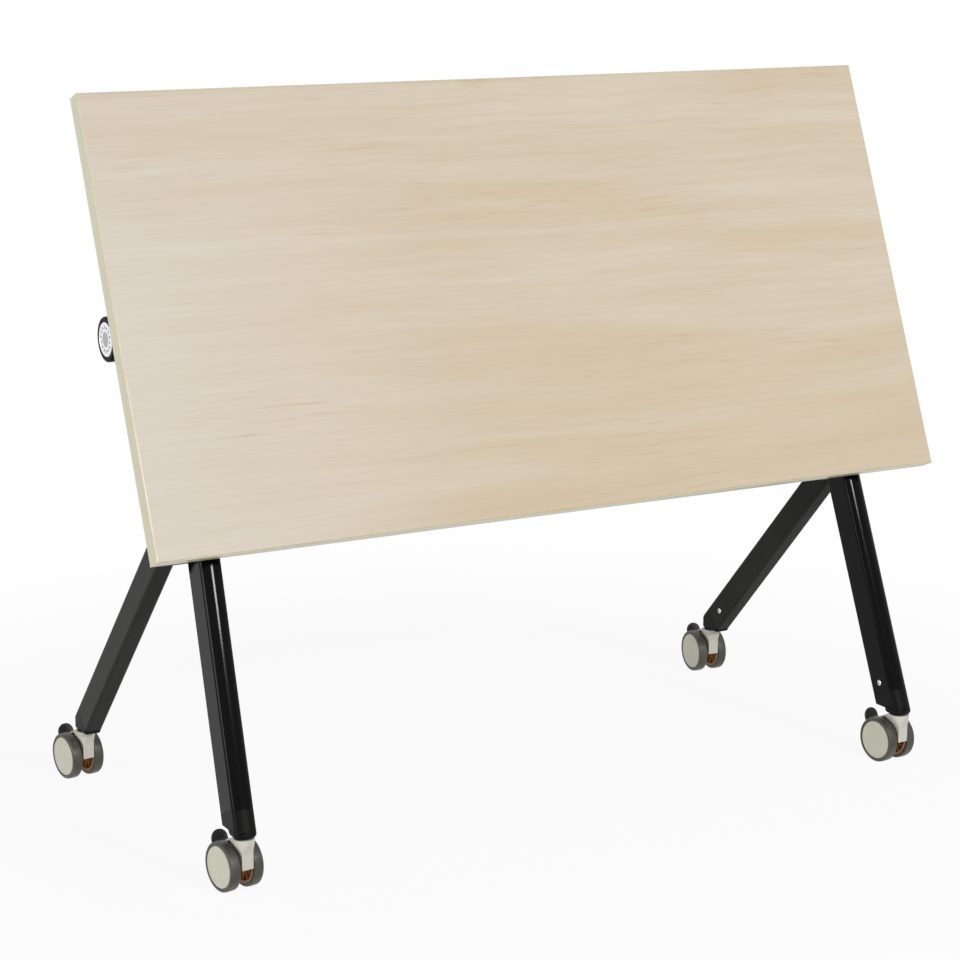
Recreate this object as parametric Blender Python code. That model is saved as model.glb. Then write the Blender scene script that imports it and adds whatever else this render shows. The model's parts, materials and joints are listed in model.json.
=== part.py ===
"""Flip-top training table on braked twin-wheel castors, stored with its top nested.

Units are metres, +Z is up, the user's side is -Y and the length runs along X.
The top leans back parallel to the front legs; the flip joint lays it flat.
"""
import math

import bmesh
import bpy
from mathutils import Matrix, Vector

# Tabletop
TOP_LENGTH = 1.200
TOP_DEPTH = 0.600
TOP_THICKNESS = 0.025
BAND_THICKNESS = 0.002
TABLE_HEIGHT = 0.750
NEST_LEAN = math.radians(22.0)

# Crossbeam, which is also the flip shaft
PIVOT_DROP = 0.075
BEAM_RADIUS = 0.021
BEAM_WALL = 0.002
CAP_INSET = 0.012
CAP_LIP = 0.008
CAP_THICKNESS = 0.012
CAP_PLUG_LENGTH = 0.022
PLATE_RIM = 0.007
PLATE_THICKNESS = 0.0016

# Leg extrusions: a flat back, flat sides and one rounded face; the rear pair is slimmer
FRONT_WIDTH = 0.0295
FRONT_DEPTH = 0.046
REAR_WIDTH = 0.024
REAR_DEPTH = 0.0415
LEG_WALL = 0.0022
LEG_ROUND = 0.008
LEG_CORNER = 0.002

# Frame of two legs at each end; the rear leg stands just outside the front leg
LEG_INSET = 0.0847
LEG_SPLAY = math.radians(2.05)
FRONT_LEAN = math.radians(20.5)
REAR_LEAN = math.radians(43.1)
STANCE = 0.505
REAR_SETBACK = 0.006
LEG_SIDE_GAP = 0.005
JOINT_LENGTH = 0.030
JOINT_SPIGOT = 0.055
JOINT_LIP = 0.005
JOINT_SEAT = 0.022

# Casting at the head of each front leg
HEAD_WALL = 0.009
HEAD_INNER = 0.017
HEAD_OUTER = 0.020
HEAD_NECK = 0.006
HEAD_SPIGOT = 0.060
DISC_LIP = 0.010
DISC_THICKNESS = 0.006
NOTCH_WIDTH = 0.012
NOTCH_DEPTH = 0.007

# Bracket that carries the top on the crossbeam
BUSH_WALL = 0.002
BRACKET_WALL = 0.0045
BRACKET_GAP = 0.0035
FLANGE_THICKNESS = 0.004
FLANGE_DEPTH = 0.130
WEB_DEPTH = 0.030

# Lock lever on each bracket
LEVER_HINGE_Z = 0.034
LEVER_THICKNESS = 0.005
LEVER_WIDTH = 0.008
LEVER_LENGTH = 0.092
LEVER_PIN_RADIUS = 0.0035
LEVER_PIN_LENGTH = 0.012
NOSE_LENGTH = 0.0077
NOSE_HEIGHT = 0.006
PADDLE_WIDTH = 0.032
PADDLE_HEIGHT = 0.020
LUG_RADIUS = 0.0085

# Feet
FOOT_LENGTH = 0.032
FOOT_SPIGOT = 0.040
NECK_RADIUS = 0.0145
NECK_DROP = 0.0075
NECK_OFFSET = -0.0083

# Castors
WHEEL_RADIUS = 0.0325
WHEEL_WIDTH = 0.0145
WHEEL_GAP = 0.019
TYRE_THICKNESS = 0.0048
RIM_WALL = 0.003
DISC_WALL = 0.003
WHEEL_HUB_RADIUS = 0.0085
CASTOR_TRAIL = 0.0235
STEM_RADIUS = 0.004
STEM_REACH = 0.018
STEM_SEAT = 0.022
AXLE_RADIUS = 0.004
AXLE_SEAT = 0.010
HOUSING_DROP = 0.040
COLLAR_HEIGHT = 0.0075
COLLAR_LAP = 0.003
AXLE_BOSS = 0.009
PEDAL_BACK = 0.014
PEDAL_FALL = 0.010
PEDAL_COVER = 0.0017
PEDAL_KNUCKLE = 0.004
PEDAL_LENGTH = 0.030
PEDAL_THICKNESS = 0.0034
PEDAL_RISE = math.radians(36.0)
SWIVEL = {
    "front_left": math.radians(8.0),
    "rear_left": math.radians(8.0),
    "front_right": math.radians(5.0),
    "rear_right": math.radians(-5.0),
}

# Clearances
FIT = 0.0003
RUN = 0.0008

# Facets round a full turn
WHEEL_SEGMENTS = 24
ROUND_SEGMENTS = 24
SMALL_SEGMENTS = 12
CROWN_STEPS = 2
ARC_STEPS = 8

# Castor heights: the round collar stays clear of the tyres beside it
WHEEL_X = (WHEEL_GAP + WHEEL_WIDTH) / 2
WEB_WIDTH = WHEEL_GAP - 2 * RUN
CORE_RADIUS = WHEEL_RADIUS - TYRE_THICKNESS
COLLAR_REACH = math.sqrt(NECK_RADIUS ** 2 - (WHEEL_GAP / 2) ** 2) + 2 * RUN
COLLAR_LOW = WHEEL_RADIUS + math.sqrt(WHEEL_RADIUS ** 2 - (CASTOR_TRAIL - COLLAR_REACH) ** 2)
WEB_TOP = COLLAR_LOW + COLLAR_LAP
CASTOR_HEIGHT = WEB_TOP + COLLAR_HEIGHT
PEDAL_HINGE_Y = CASTOR_TRAIL + PEDAL_BACK
PEDAL_HINGE_Z = WEB_TOP - PEDAL_FALL - PEDAL_COVER - FIT - PEDAL_KNUCKLE
FOOT_UNDERSIDE_Z = CASTOR_HEIGHT + NECK_DROP

# Round pieces on the crossbeam
HEAD_RADIUS = BEAM_RADIUS + HEAD_WALL
DISC_RADIUS = HEAD_RADIUS + DISC_LIP
CAP_RADIUS = BEAM_RADIUS + CAP_LIP
PLATE_RADIUS = CAP_RADIUS - PLATE_RIM
BUSH_RADIUS = BEAM_RADIUS + FIT + BUSH_WALL
BRACKET_BORE = BUSH_RADIUS + FIT
BRACKET_RADIUS = BRACKET_BORE + BRACKET_WALL

# Places of the frame and of the pieces along the crossbeam
PIVOT_Z = TABLE_HEIGHT - PIVOT_DROP
PIVOT = Vector((0.0, 0.0, PIVOT_Z))
FRONT_X = TOP_LENGTH / 2 - LEG_INSET
LEG_PIVOT_X = FRONT_X - math.tan(LEG_SPLAY) * (PIVOT_Z - CASTOR_HEIGHT)
LEG_STANCE = STANCE + REAR_SETBACK + NECK_OFFSET / math.cos(FRONT_LEAN)
CROSSING_RISE = LEG_STANCE / (math.tan(FRONT_LEAN) + math.tan(REAR_LEAN))
REAR_STEP = (FRONT_WIDTH + REAR_WIDTH) / 2 + LEG_SIDE_GAP
REAR_X = FRONT_X - math.tan(LEG_SPLAY) * CROSSING_RISE + REAR_STEP
LEG_TOP = HEAD_RADIUS + HEAD_NECK
CAP_FACE_X = TOP_LENGTH / 2 - CAP_INSET
CAP_SHOULDER_X = CAP_FACE_X - CAP_THICKNESS
BEAM_END_X = CAP_SHOULDER_X - FIT
DISC_X = LEG_PIVOT_X + HEAD_OUTER
BRACKET_INNER_X = DISC_X + DISC_THICKNESS + BRACKET_GAP
BRACKET_OUTER_X = CAP_SHOULDER_X - BRACKET_GAP
UNDERSIDE_Z = PIVOT_DROP - TOP_THICKNESS
FLANGE_TOP_Z = UNDERSIDE_Z - FIT
LEVER_HINGE_Y = -(DISC_RADIUS + RUN + NOSE_LENGTH + LEVER_WIDTH / 2)
SIDES = {"left": -1, "right": 1}

# Width and depth of a leg by the sign of its rounded side
LEG_SIZES = {-1: (FRONT_WIDTH, FRONT_DEPTH), 1: (REAR_WIDTH, REAR_DEPTH)}


def clear_scene():
    for item in list(bpy.data.objects):
        bpy.data.objects.remove(item, do_unlink=True)


def make_material(name, colour, roughness, metallic=0.0):
    material = bpy.data.materials.new(name)
    material.use_nodes = True
    shader = material.node_tree.nodes["Principled BSDF"]
    shader.inputs["Base Color"].default_value = (*colour, 1.0)
    shader.inputs["Roughness"].default_value = roughness
    shader.inputs["Metallic"].default_value = metallic
    return material


def make_empty(name, parent=None, location=(0, 0, 0), rotation=(0, 0, 0)):
    empty = bpy.data.objects.new(name, None)
    empty.location = location
    empty.rotation_euler = rotation
    empty.parent = parent
    bpy.context.scene.collection.objects.link(empty)
    return empty


def make_object(name, bm, material, parent, location=(0, 0, 0), smooth_angle=35.0):
    bmesh.ops.recalc_face_normals(bm, faces=bm.faces)
    mesh = bpy.data.meshes.new(name)
    bm.to_mesh(mesh)
    bm.free()
    mesh.shade_smooth()
    mesh.set_sharp_from_angle(angle=math.radians(smooth_angle))
    item = bpy.data.objects.new(name, mesh)
    item.location = location
    item.parent = parent
    if material is not None:
        mesh.materials.append(material)
    bpy.context.scene.collection.objects.link(item)
    return item


def combine(target, bm, operation):
    """Join to, or cut from, a piece with a hidden tool that shares its placing."""
    name = f"tool_{target.name}_{len(target.modifiers)}"
    tool = make_object(name, bm, None, target.parent, target.location)
    tool.hide_render = True
    tool.display_type = "WIRE"
    modifier = target.modifiers.new(operation.title(), "BOOLEAN")
    modifier.operation = operation
    modifier.solver = "EXACT"
    modifier.object = tool


def add(target, bm):
    combine(target, bm, "UNION")


def cut(target, bm):
    combine(target, bm, "DIFFERENCE")


def loft(loops, closed=False):
    """Skin equal loops of points in order; cap the ends, or close the last onto the first."""
    bm = bmesh.new()
    rings = [[bm.verts.new(point) for point in loop] for loop in loops]
    pairs = list(zip(rings, rings[1:]))
    if closed:
        pairs.append((rings[-1], rings[0]))
    else:
        bm.faces.new(rings[0])
        bm.faces.new(rings[-1])
    for low, high in pairs:
        for i in range(len(low)):
            j = (i + 1) % len(low)
            bm.faces.new((low[i], low[j], high[j], high[i]))
    return bm


def plate(outline, x0, x1):
    """Extrude a (y, z) outline along X."""
    return loft([[Vector((x, y, z)) for y, z in outline] for x in (x0, x1)])


def box(x0, x1, y0, y1, z0, z1):
    return plate([(y0, z0), (y1, z0), (y1, z1), (y0, z1)], x0, x1)


def circle(radius, centre=(0.0, 0.0), segments=ROUND_SEGMENTS):
    angles = [2 * math.pi * i / segments for i in range(segments)]
    return [(centre[0] + radius * math.cos(a), centre[1] + radius * math.sin(a)) for a in angles]


def arc(radius, centre, start, end, steps=ARC_STEPS):
    angles = [math.radians(start + (end - start) * i / steps) for i in range(steps + 1)]
    return [(centre[0] + radius * math.cos(a), centre[1] + radius * math.sin(a)) for a in angles]


def rod_x(radius, x0, x1, centre=(0.0, 0.0), segments=ROUND_SEGMENTS):
    return plate(circle(radius, centre, segments), x0, x1)


def rod_z(radius, z0, z1, centre=(0.0, 0.0), segments=ROUND_SEGMENTS):
    ring = circle(radius, centre, segments)
    return loft([[Vector((x, y, z)) for x, y in ring] for z in (z0, z1)])


def tube_x(outer, inner, x0, x1, segments=ROUND_SEGMENTS):
    profile = ((x0, outer), (x1, outer), (x1, inner), (x0, inner))
    loops = [[Vector((x, y, z)) for y, z in circle(r, segments=segments)] for x, r in profile]
    return loft(loops, closed=True)


def turned(profile, segments):
    """Spin an (x, radius) profile, from axis to axis, about X."""
    bm = bmesh.new()
    verts = [bm.verts.new((x, radius, 0.0)) for x, radius in profile]
    edges = [bm.edges.new(pair) for pair in zip(verts, verts[1:])]
    bmesh.ops.spin(bm, geom=verts + edges, cent=(0, 0, 0), axis=(1, 0, 0),
                   angle=2 * math.pi, steps=segments, use_merge=True)
    bmesh.ops.remove_doubles(bm, verts=bm.verts, dist=1e-6)
    return bm


def turned_ring(profile, segments):
    """Spin a closed (x, radius) profile that stays off the axis about X."""
    loops = [[Vector((x, y, z)) for y, z in circle(r, segments=segments)] for x, r in profile]
    return loft(loops, closed=True)


def leg_outline(inset, facing):
    """Leg section inset from its outside; facing is the sign of the rounded side."""
    width, depth = LEG_SIZES[facing]
    half = width / 2 - inset
    back = depth / 2 - inset
    rise = LEG_ROUND * half / (FRONT_WIDTH / 2)
    radius = (half * half + rise * rise) / (2 * rise)
    sweep = math.degrees(math.asin(half / radius))
    round_face = arc(radius, (0.0, back - radius), 90.0 - sweep, 90.0 + sweep)
    flat_face = [
        (-half, LEG_CORNER - back),
        (LEG_CORNER - half, -back),
        (half - LEG_CORNER, -back),
        (half, LEG_CORNER - back),
    ]
    return [(a, facing * b) for a, b in round_face + flat_face]


class LegFrame:
    """Axes of one leg: across its width, front to back, and up along its length."""

    def __init__(self, point, lean, splay=0.0):
        self.point = Vector(point)
        self.along = Vector((-math.tan(splay), math.tan(lean), 1.0)).normalized()
        across = Vector((1, 0, 0))
        self.across = (across - across.dot(self.along) * self.along).normalized()
        self.depth = self.along.cross(self.across)

    def at(self, a, b, distance):
        return self.point + a * self.across + b * self.depth + distance * self.along

    def square_cut(self, distance):
        return self.at(0, 0, distance), self.along

    def trimmed(self, outline, plane):
        """Outline carried along the leg onto a cutting plane."""
        point, normal = plane
        loop = []
        for a, b in outline:
            start = self.at(a, b, 0.0)
            distance = (point - start).dot(normal) / self.along.dot(normal)
            loop.append(start + distance * self.along)
        return loop

    def bar(self, outline, low, high):
        return loft([self.trimmed(outline, low), self.trimmed(outline, high)])

    def tube(self, outer, inner, low, high):
        loops = [self.trimmed(outer, low), self.trimmed(outer, high)]
        loops += [self.trimmed(inner, high), self.trimmed(inner, low)]
        return loft(loops, closed=True)


def level(z):
    return Vector((0, 0, z)), Vector((0, 0, 1))


def front_leg_frame(side):
    return LegFrame((side * LEG_PIVOT_X, 0.0, PIVOT_Z), FRONT_LEAN, side * LEG_SPLAY)


def front_stem(side):
    frame = front_leg_frame(side)
    return frame.trimmed([(0.0, NECK_OFFSET)], level(CASTOR_HEIGHT))[0]


def rear_stem(side):
    return Vector((side * REAR_X, front_stem(side).y + STANCE, CASTOR_HEIGHT))


def rear_leg_frame(side):
    return LegFrame(rear_stem(side) + Vector((0, REAR_SETBACK, 0)), -REAR_LEAN)


def front_foot_distance(side):
    """Distance from the pivot down the front leg to its foot's underside."""
    frame = front_leg_frame(side)
    return (frame.trimmed([(0.0, 0.0)], level(CASTOR_HEIGHT))[0] - frame.point).length


def build_top(parent, materials):
    half_x = TOP_LENGTH / 2
    half_y = TOP_DEPTH / 2
    board_x = half_x - BAND_THICKNESS - FIT
    board_y = half_y - BAND_THICKNESS - FIT
    board = box(-board_x, board_x, -board_y, board_y, UNDERSIDE_Z, PIVOT_DROP)
    make_object("tabletop_board", board, materials["laminate"], parent)
    for name, sign in (("front", -1), ("rear", 1)):
        y0, y1 = sorted((sign * half_y, sign * (half_y - BAND_THICKNESS)))
        strip = box(-half_x, half_x, y0, y1, UNDERSIDE_Z, PIVOT_DROP)
        make_object(f"edge_band_{name}", strip, materials["band"], parent)
    for name, sign in SIDES.items():
        x0, x1 = sorted((sign * half_x, sign * (half_x - BAND_THICKNESS)))
        strip = box(x0, x1, -board_y, board_y, UNDERSIDE_Z, PIVOT_DROP)
        make_object(f"edge_band_{name}", strip, materials["band"], parent)


def span(side, inner, outer):
    """Ends, in ascending order, of a stretch along X on one side of the table."""
    return sorted((side * inner, side * outer))


def build_bracket(name, side, parent, materials):
    """Flanged bearing screwed under the top, with the lug of its lock lever."""
    x0, x1 = span(side, BRACKET_INNER_X, BRACKET_OUTER_X)
    flange_low = FLANGE_TOP_Z - FLANGE_THICKNESS
    flange = box(x0, x1, -FLANGE_DEPTH / 2, FLANGE_DEPTH / 2, flange_low, FLANGE_TOP_Z)
    bracket = make_object(f"flip_bracket_{name}", flange, materials["black_metal"], parent)
    inside = FLANGE_THICKNESS / 2
    add(bracket, box(x0 + FIT, x1 - FIT, -WEB_DEPTH / 2, WEB_DEPTH / 2, 0.0, flange_low + inside))
    add(bracket, rod_x(BRACKET_RADIUS, x0, x1))
    lug_x0, lug_x1 = span(side, BRACKET_INNER_X, BRACKET_INNER_X + LEVER_PIN_LENGTH)
    hinge = (LEVER_HINGE_Y, LEVER_HINGE_Z)
    lug = arc(LUG_RADIUS, hinge, 180.0, 360.0)
    lug += [(LEVER_HINGE_Y + end * LUG_RADIUS, flange_low + inside) for end in (1, -1)]
    add(bracket, plate(lug, lug_x0, lug_x1))
    cut(bracket, rod_x(BRACKET_BORE, x0 - RUN, x1 + RUN))
    cut(bracket, rod_x(LEVER_PIN_RADIUS + FIT, lug_x0 - RUN, lug_x1 + RUN, hinge, SMALL_SEGMENTS))
    bush = tube_x(BUSH_RADIUS, BEAM_RADIUS + FIT, x0, x1)
    make_object(f"bracket_bush_{name}", bush, materials["bush"], parent)


def build_lever(name, side, parent, materials):
    """Hanging latch: pin in the bracket's lug, nose for the lock disc, paddle for the fingers."""
    middle = DISC_X + DISC_THICKNESS / 2
    x0, x1 = span(side, middle - LEVER_THICKNESS / 2, middle + LEVER_THICKNESS / 2)
    half = LEVER_WIDTH / 2
    strip = arc(half, (0.0, 0.0), 0.0, 180.0) + [(-half, -LEVER_LENGTH), (half, -LEVER_LENGTH)]
    hinge = (0.0, LEVER_HINGE_Y, LEVER_HINGE_Z)
    lever = make_object(f"lock_lever_{name}", plate(strip, x0, x1), materials["lever"], parent, hinge)
    nose_tip = -DISC_RADIUS - RUN - LEVER_HINGE_Y
    nose_z = -LEVER_HINGE_Z
    add(lever, box(x0, x1, 0.0, nose_tip, nose_z - NOSE_HEIGHT / 2, nose_z + NOSE_HEIGHT / 2))
    paddle_x = span(side, middle - LEVER_THICKNESS / 2, middle - LEVER_THICKNESS / 2 + PADDLE_WIDTH)
    add(lever, box(*paddle_x, -half, half - RUN, -LEVER_LENGTH, PADDLE_HEIGHT - LEVER_LENGTH))
    pin_x = span(side, middle, BRACKET_INNER_X + LEVER_PIN_LENGTH)
    add(lever, rod_x(LEVER_PIN_RADIUS, *pin_x, segments=SMALL_SEGMENTS))


def build_beam(parent, materials):
    beam = tube_x(BEAM_RADIUS, BEAM_RADIUS - BEAM_WALL, -BEAM_END_X, BEAM_END_X, WHEEL_SEGMENTS)
    make_object("crossbeam_tube", beam, materials["black_metal"], parent, PIVOT)
    for name, side in SIDES.items():
        plug = BEAM_RADIUS - BEAM_WALL - FIT
        recess_x = CAP_FACE_X - PLATE_THICKNESS
        cap = [
            (CAP_SHOULDER_X - CAP_PLUG_LENGTH, 0.0),
            (CAP_SHOULDER_X - CAP_PLUG_LENGTH, plug),
            (CAP_SHOULDER_X, plug),
            (CAP_SHOULDER_X, CAP_RADIUS),
            (CAP_FACE_X - RUN, CAP_RADIUS),
            (CAP_FACE_X, CAP_RADIUS - RUN),
            (CAP_FACE_X, PLATE_RADIUS + FIT),
            (recess_x, PLATE_RADIUS + FIT),
            (recess_x, 0.0),
        ]
        cap = turned([(side * x, radius) for x, radius in cap], WHEEL_SEGMENTS)
        make_object(f"end_cap_{name}", cap, materials["black_plastic"], parent, PIVOT)
        ends = span(side, recess_x + FIT, CAP_FACE_X)
        disc = rod_x(PLATE_RADIUS, *ends, segments=WHEEL_SEGMENTS)
        make_object(f"end_plate_{name}", disc, materials["silver"], parent, PIVOT)


def build_head(name, side, parent, materials):
    """Casting clamped on the crossbeam, with a spigot for the front leg and a notched lock disc."""
    frame = front_leg_frame(side)
    x0, x1 = span(side, LEG_PIVOT_X - HEAD_INNER, DISC_X)
    clamp = rod_x(HEAD_RADIUS, x0, x1, (0.0, PIVOT_Z))
    head = make_object(f"leg_head_{name}", clamp, materials["black_metal"], parent)
    low = frame.square_cut(-LEG_TOP + FIT)
    add(head, frame.bar(leg_outline(0.0, -1), low, frame.square_cut(0.0)))
    spigot = leg_outline(LEG_WALL + FIT, -1)
    add(head, frame.bar(spigot, frame.square_cut(-LEG_TOP - HEAD_SPIGOT), frame.square_cut(-HEAD_RADIUS)))
    disc_x = span(side, DISC_X - RUN, DISC_X + DISC_THICKNESS)
    add(head, rod_x(DISC_RADIUS, *disc_x, (0.0, PIVOT_Z), WHEEL_SEGMENTS))
    cut(head, rod_x(BEAM_RADIUS + FIT, x0 - 2 * DISC_THICKNESS, x1 + 2 * DISC_THICKNESS, (0.0, PIVOT_Z)))
    notch_x = span(side, DISC_X, DISC_X + 2 * DISC_THICKNESS)
    for turn in (0.0, math.pi / 2 - NEST_LEAN):
        cut(head, notch(notch_x, turn))


def notch(ends, turn):
    """Slot in the lock disc's rim where the lever's nose drops in, for one angle of the top."""
    half = NOTCH_WIDTH / 2
    depth = DISC_RADIUS - NOTCH_DEPTH
    reach = DISC_RADIUS + NOTCH_DEPTH
    bm = box(*ends, -reach, -depth, -half, half)
    bmesh.ops.rotate(bm, verts=bm.verts, cent=(0, 0, 0), matrix=Matrix.Rotation(turn, 3, "X"))
    bmesh.ops.translate(bm, verts=bm.verts, vec=PIVOT)
    return bm


def build_legs(name, side, parent, materials):
    front = front_leg_frame(side)
    rear = rear_leg_frame(side)
    reach = front_foot_distance(side)
    seam = front.square_cut(FOOT_LENGTH - reach)
    leg = front.tube(leg_outline(0.0, -1), leg_outline(LEG_WALL, -1), seam, front.square_cut(-LEG_TOP))
    make_object(f"front_leg_{name}", leg, materials["leg"], parent)

    seat = front.at(0.0, FRONT_DEPTH / 2 + FIT, 0.0), front.depth
    rear_end = front.at(0.0, FRONT_DEPTH / 2 + JOINT_LENGTH, 0.0), front.depth
    shoulder = front.at(0.0, FRONT_DEPTH / 2 + JOINT_LENGTH - FIT, 0.0), front.depth
    seam = rear.square_cut(FOOT_LENGTH)
    leg = rear.tube(leg_outline(0.0, 1), leg_outline(LEG_WALL, 1), seam, rear_end)
    make_object(f"rear_leg_{name}", leg, materials["leg"], parent)

    a0, a1 = span(side, -REAR_WIDTH / 2 - LEG_SIDE_GAP - JOINT_SEAT, REAR_WIDTH / 2)
    b0, b1 = -REAR_DEPTH / 2 - JOINT_LIP, REAR_DEPTH / 2
    block = rear.bar([(a0, b0), (a1, b0), (a1, b1), (a0, b1)], shoulder, seat)
    joint = make_object(f"leg_joint_{name}", block, materials["black_metal"], parent)
    top = rear.trimmed([(0.0, 0.0)], rear_end)[0]
    low = top - JOINT_SPIGOT * rear.along, rear.along
    inside = front.at(0.0, (FRONT_DEPTH + JOINT_LENGTH) / 2, 0.0), front.depth
    add(joint, rear.bar(leg_outline(LEG_WALL + FIT, 1), low, inside))


def build_front_foot(name, side, parent, materials):
    frame = front_leg_frame(side)
    seam = FOOT_LENGTH - front_foot_distance(side)
    body = frame.bar(leg_outline(0.0, -1), level(FOOT_UNDERSIDE_Z), frame.square_cut(seam - FIT))
    foot = make_object(f"front_foot_{name}", body, materials["black_plastic"], parent)
    neck = circle(NECK_RADIUS, (0.0, NECK_OFFSET))
    add(foot, frame.bar(neck, level(CASTOR_HEIGHT), level(FOOT_UNDERSIDE_Z + NECK_DROP / 2)))
    finish_foot(foot, frame, seam, leg_outline(LEG_WALL + FIT, -1), front_stem(side))


def build_rear_foot(name, side, parent, materials):
    frame = rear_leg_frame(side)
    body = frame.bar(leg_outline(0.0, 1), level(CASTOR_HEIGHT), frame.square_cut(FOOT_LENGTH - FIT))
    foot = make_object(f"rear_foot_{name}", body, materials["black_plastic"], parent)
    stem = rear_stem(side)
    back = stem.y + NECK_RADIUS
    heel = box(stem.x - REAR_WIDTH, stem.x + REAR_WIDTH, back, back + REAR_DEPTH,
               CASTOR_HEIGHT - REAR_DEPTH, CASTOR_HEIGHT + REAR_DEPTH)
    cut(foot, heel)
    finish_foot(foot, frame, FOOT_LENGTH, leg_outline(LEG_WALL + FIT, 1), stem)


def finish_foot(foot, frame, seam, outline, stem):
    """Spigot that plugs into the leg, and the vertical bore for the castor's stem."""
    low = frame.square_cut(seam - FOOT_LENGTH / 4)
    add(foot, frame.bar(outline, low, frame.square_cut(seam + FOOT_SPIGOT)))
    top = CASTOR_HEIGHT + STEM_REACH + FIT
    cut(foot, rod_z(STEM_RADIUS + FIT, CASTOR_HEIGHT - NECK_DROP, top, (stem.x, stem.y), SMALL_SEGMENTS))


def build_castor(name, stem, parent, materials):
    """Castor in its own frame: stem on the Z axis, floor at zero, wheels trailing to +Y."""
    swivel = make_empty(f"swivel_{name}", parent, (stem.x, stem.y, 0.0), (0.0, 0.0, SWIVEL[name]))
    build_housing(name, swivel, materials)
    pin = rod_z(STEM_RADIUS, CASTOR_HEIGHT - STEM_SEAT, CASTOR_HEIGHT + STEM_REACH, segments=SMALL_SEGMENTS)
    make_object(f"castor_stem_{name}", pin, materials["steel"], swivel)
    axle_end = WHEEL_GAP / 2 + AXLE_SEAT
    axle = rod_x(AXLE_RADIUS, -axle_end, axle_end, segments=SMALL_SEGMENTS)
    make_object(f"castor_axle_{name}", axle, materials["steel"], swivel, (0.0, CASTOR_TRAIL, WHEEL_RADIUS))
    build_pedal(name, swivel, materials)
    for hand, sign in SIDES.items():
        place = (sign * WHEEL_X, CASTOR_TRAIL, WHEEL_RADIUS)
        wheel = turned(wheel_profile(sign), WHEEL_SEGMENTS)
        make_object(f"wheel_{hand}_{name}", wheel, materials["ivory"], swivel, place)
        tyre = turned_ring(tyre_profile(), WHEEL_SEGMENTS)
        make_object(f"tyre_{hand}_{name}", tyre, materials["tyre"], swivel, place)


def build_housing(name, swivel, materials):
    """Web between the wheels, with a collar under the foot and a socket for the pedal's knuckle."""
    collar = rod_z(NECK_RADIUS, COLLAR_LOW, CASTOR_HEIGHT - FIT)
    housing = make_object(f"castor_housing_{name}", collar, materials["ivory"], swivel)
    front = FIT - NECK_RADIUS
    hinge = (PEDAL_HINGE_Y, PEDAL_HINGE_Z)
    axle = (CASTOR_TRAIL, WHEEL_RADIUS)
    outline = [(front, CASTOR_HEIGHT - HOUSING_DROP), (front, WEB_TOP), (NECK_RADIUS, WEB_TOP)]
    outline.append((PEDAL_HINGE_Y, WEB_TOP - PEDAL_FALL))
    outline += arc(PEDAL_KNUCKLE + FIT, hinge, 90.0, 290.0)
    outline += arc(AXLE_BOSS, axle, 20.0, -120.0)
    add(housing, plate(outline, -WEB_WIDTH / 2, WEB_WIDTH / 2))
    cut(housing, rod_x(AXLE_RADIUS + FIT, -WEB_WIDTH, WEB_WIDTH, axle, SMALL_SEGMENTS))
    seat = CASTOR_HEIGHT - STEM_SEAT - FIT
    cut(housing, rod_z(STEM_RADIUS + FIT, seat, CASTOR_HEIGHT + STEM_SEAT, segments=SMALL_SEGMENTS))


def build_pedal(name, swivel, materials):
    """Brake pedal: a knuckle in the housing's socket and a round-ended tongue that rises from it."""
    half = WEB_WIDTH / 2
    knuckle = rod_x(PEDAL_KNUCKLE, -half, half, segments=SMALL_SEGMENTS)
    place = (0.0, PEDAL_HINGE_Y, PEDAL_HINGE_Z)
    pedal = make_object(f"brake_pedal_{name}", knuckle, materials["pedal"], swivel, place)
    straight = PEDAL_LENGTH - half
    plan = [(-half, 0.0), (half, 0.0)] + arc(half, (0.0, straight), 0.0, 180.0)
    faces = (-PEDAL_THICKNESS / 2, PEDAL_THICKNESS / 2)
    tongue = loft([[Vector((x, y, z)) for x, y in plan] for z in faces])
    bmesh.ops.rotate(tongue, verts=tongue.verts, cent=(0, 0, 0), matrix=Matrix.Rotation(PEDAL_RISE, 3, "X"))
    add(pedal, tongue)


def wheel_profile(sign):
    """Core of a wheel: closed disc outside, open spoked side towards the housing."""
    outer = WHEEL_WIDTH / 2
    bore = AXLE_RADIUS + FIT
    seat = AXLE_SEAT + FIT - outer
    profile = [
        (outer, 0.0),
        (outer, CORE_RADIUS - RUN - FIT),
        (outer - RUN, CORE_RADIUS - FIT),
        (-outer, CORE_RADIUS - FIT),
        (-outer, CORE_RADIUS - FIT - RIM_WALL),
        (outer - DISC_WALL, CORE_RADIUS - FIT - RIM_WALL),
        (outer - DISC_WALL, WHEEL_HUB_RADIUS),
        (-outer, WHEEL_HUB_RADIUS),
        (-outer, bore),
        (seat, bore),
        (seat, 0.0),
    ]
    return [(sign * x, radius) for x, radius in profile]


def tyre_profile():
    half = WHEEL_WIDTH / 2
    shoulder = TYRE_THICKNESS / 2
    crown = arc(shoulder, (half - shoulder, WHEEL_RADIUS - shoulder), 0.0, 90.0, CROWN_STEPS)
    crown += arc(shoulder, (shoulder - half, WHEEL_RADIUS - shoulder), 90.0, 180.0, CROWN_STEPS)
    return crown + [(-half, CORE_RADIUS), (half, CORE_RADIUS)]


def stand_on_origin(root):
    """Move the whole table so that the middle of its footprint is the origin."""
    bpy.context.view_layer.update()
    low = Vector((math.inf, math.inf, math.inf))
    high = -low
    for item in bpy.context.scene.objects:
        if item.type != "MESH" or item.hide_render:
            continue
        for vertex in item.data.vertices:
            place = item.matrix_world @ vertex.co
            low = Vector(map(min, low, place))
            high = Vector(map(max, high, place))
    root.location = Vector((-(low.x + high.x) / 2, -(low.y + high.y) / 2, -low.z))
    bpy.context.view_layer.update()


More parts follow.
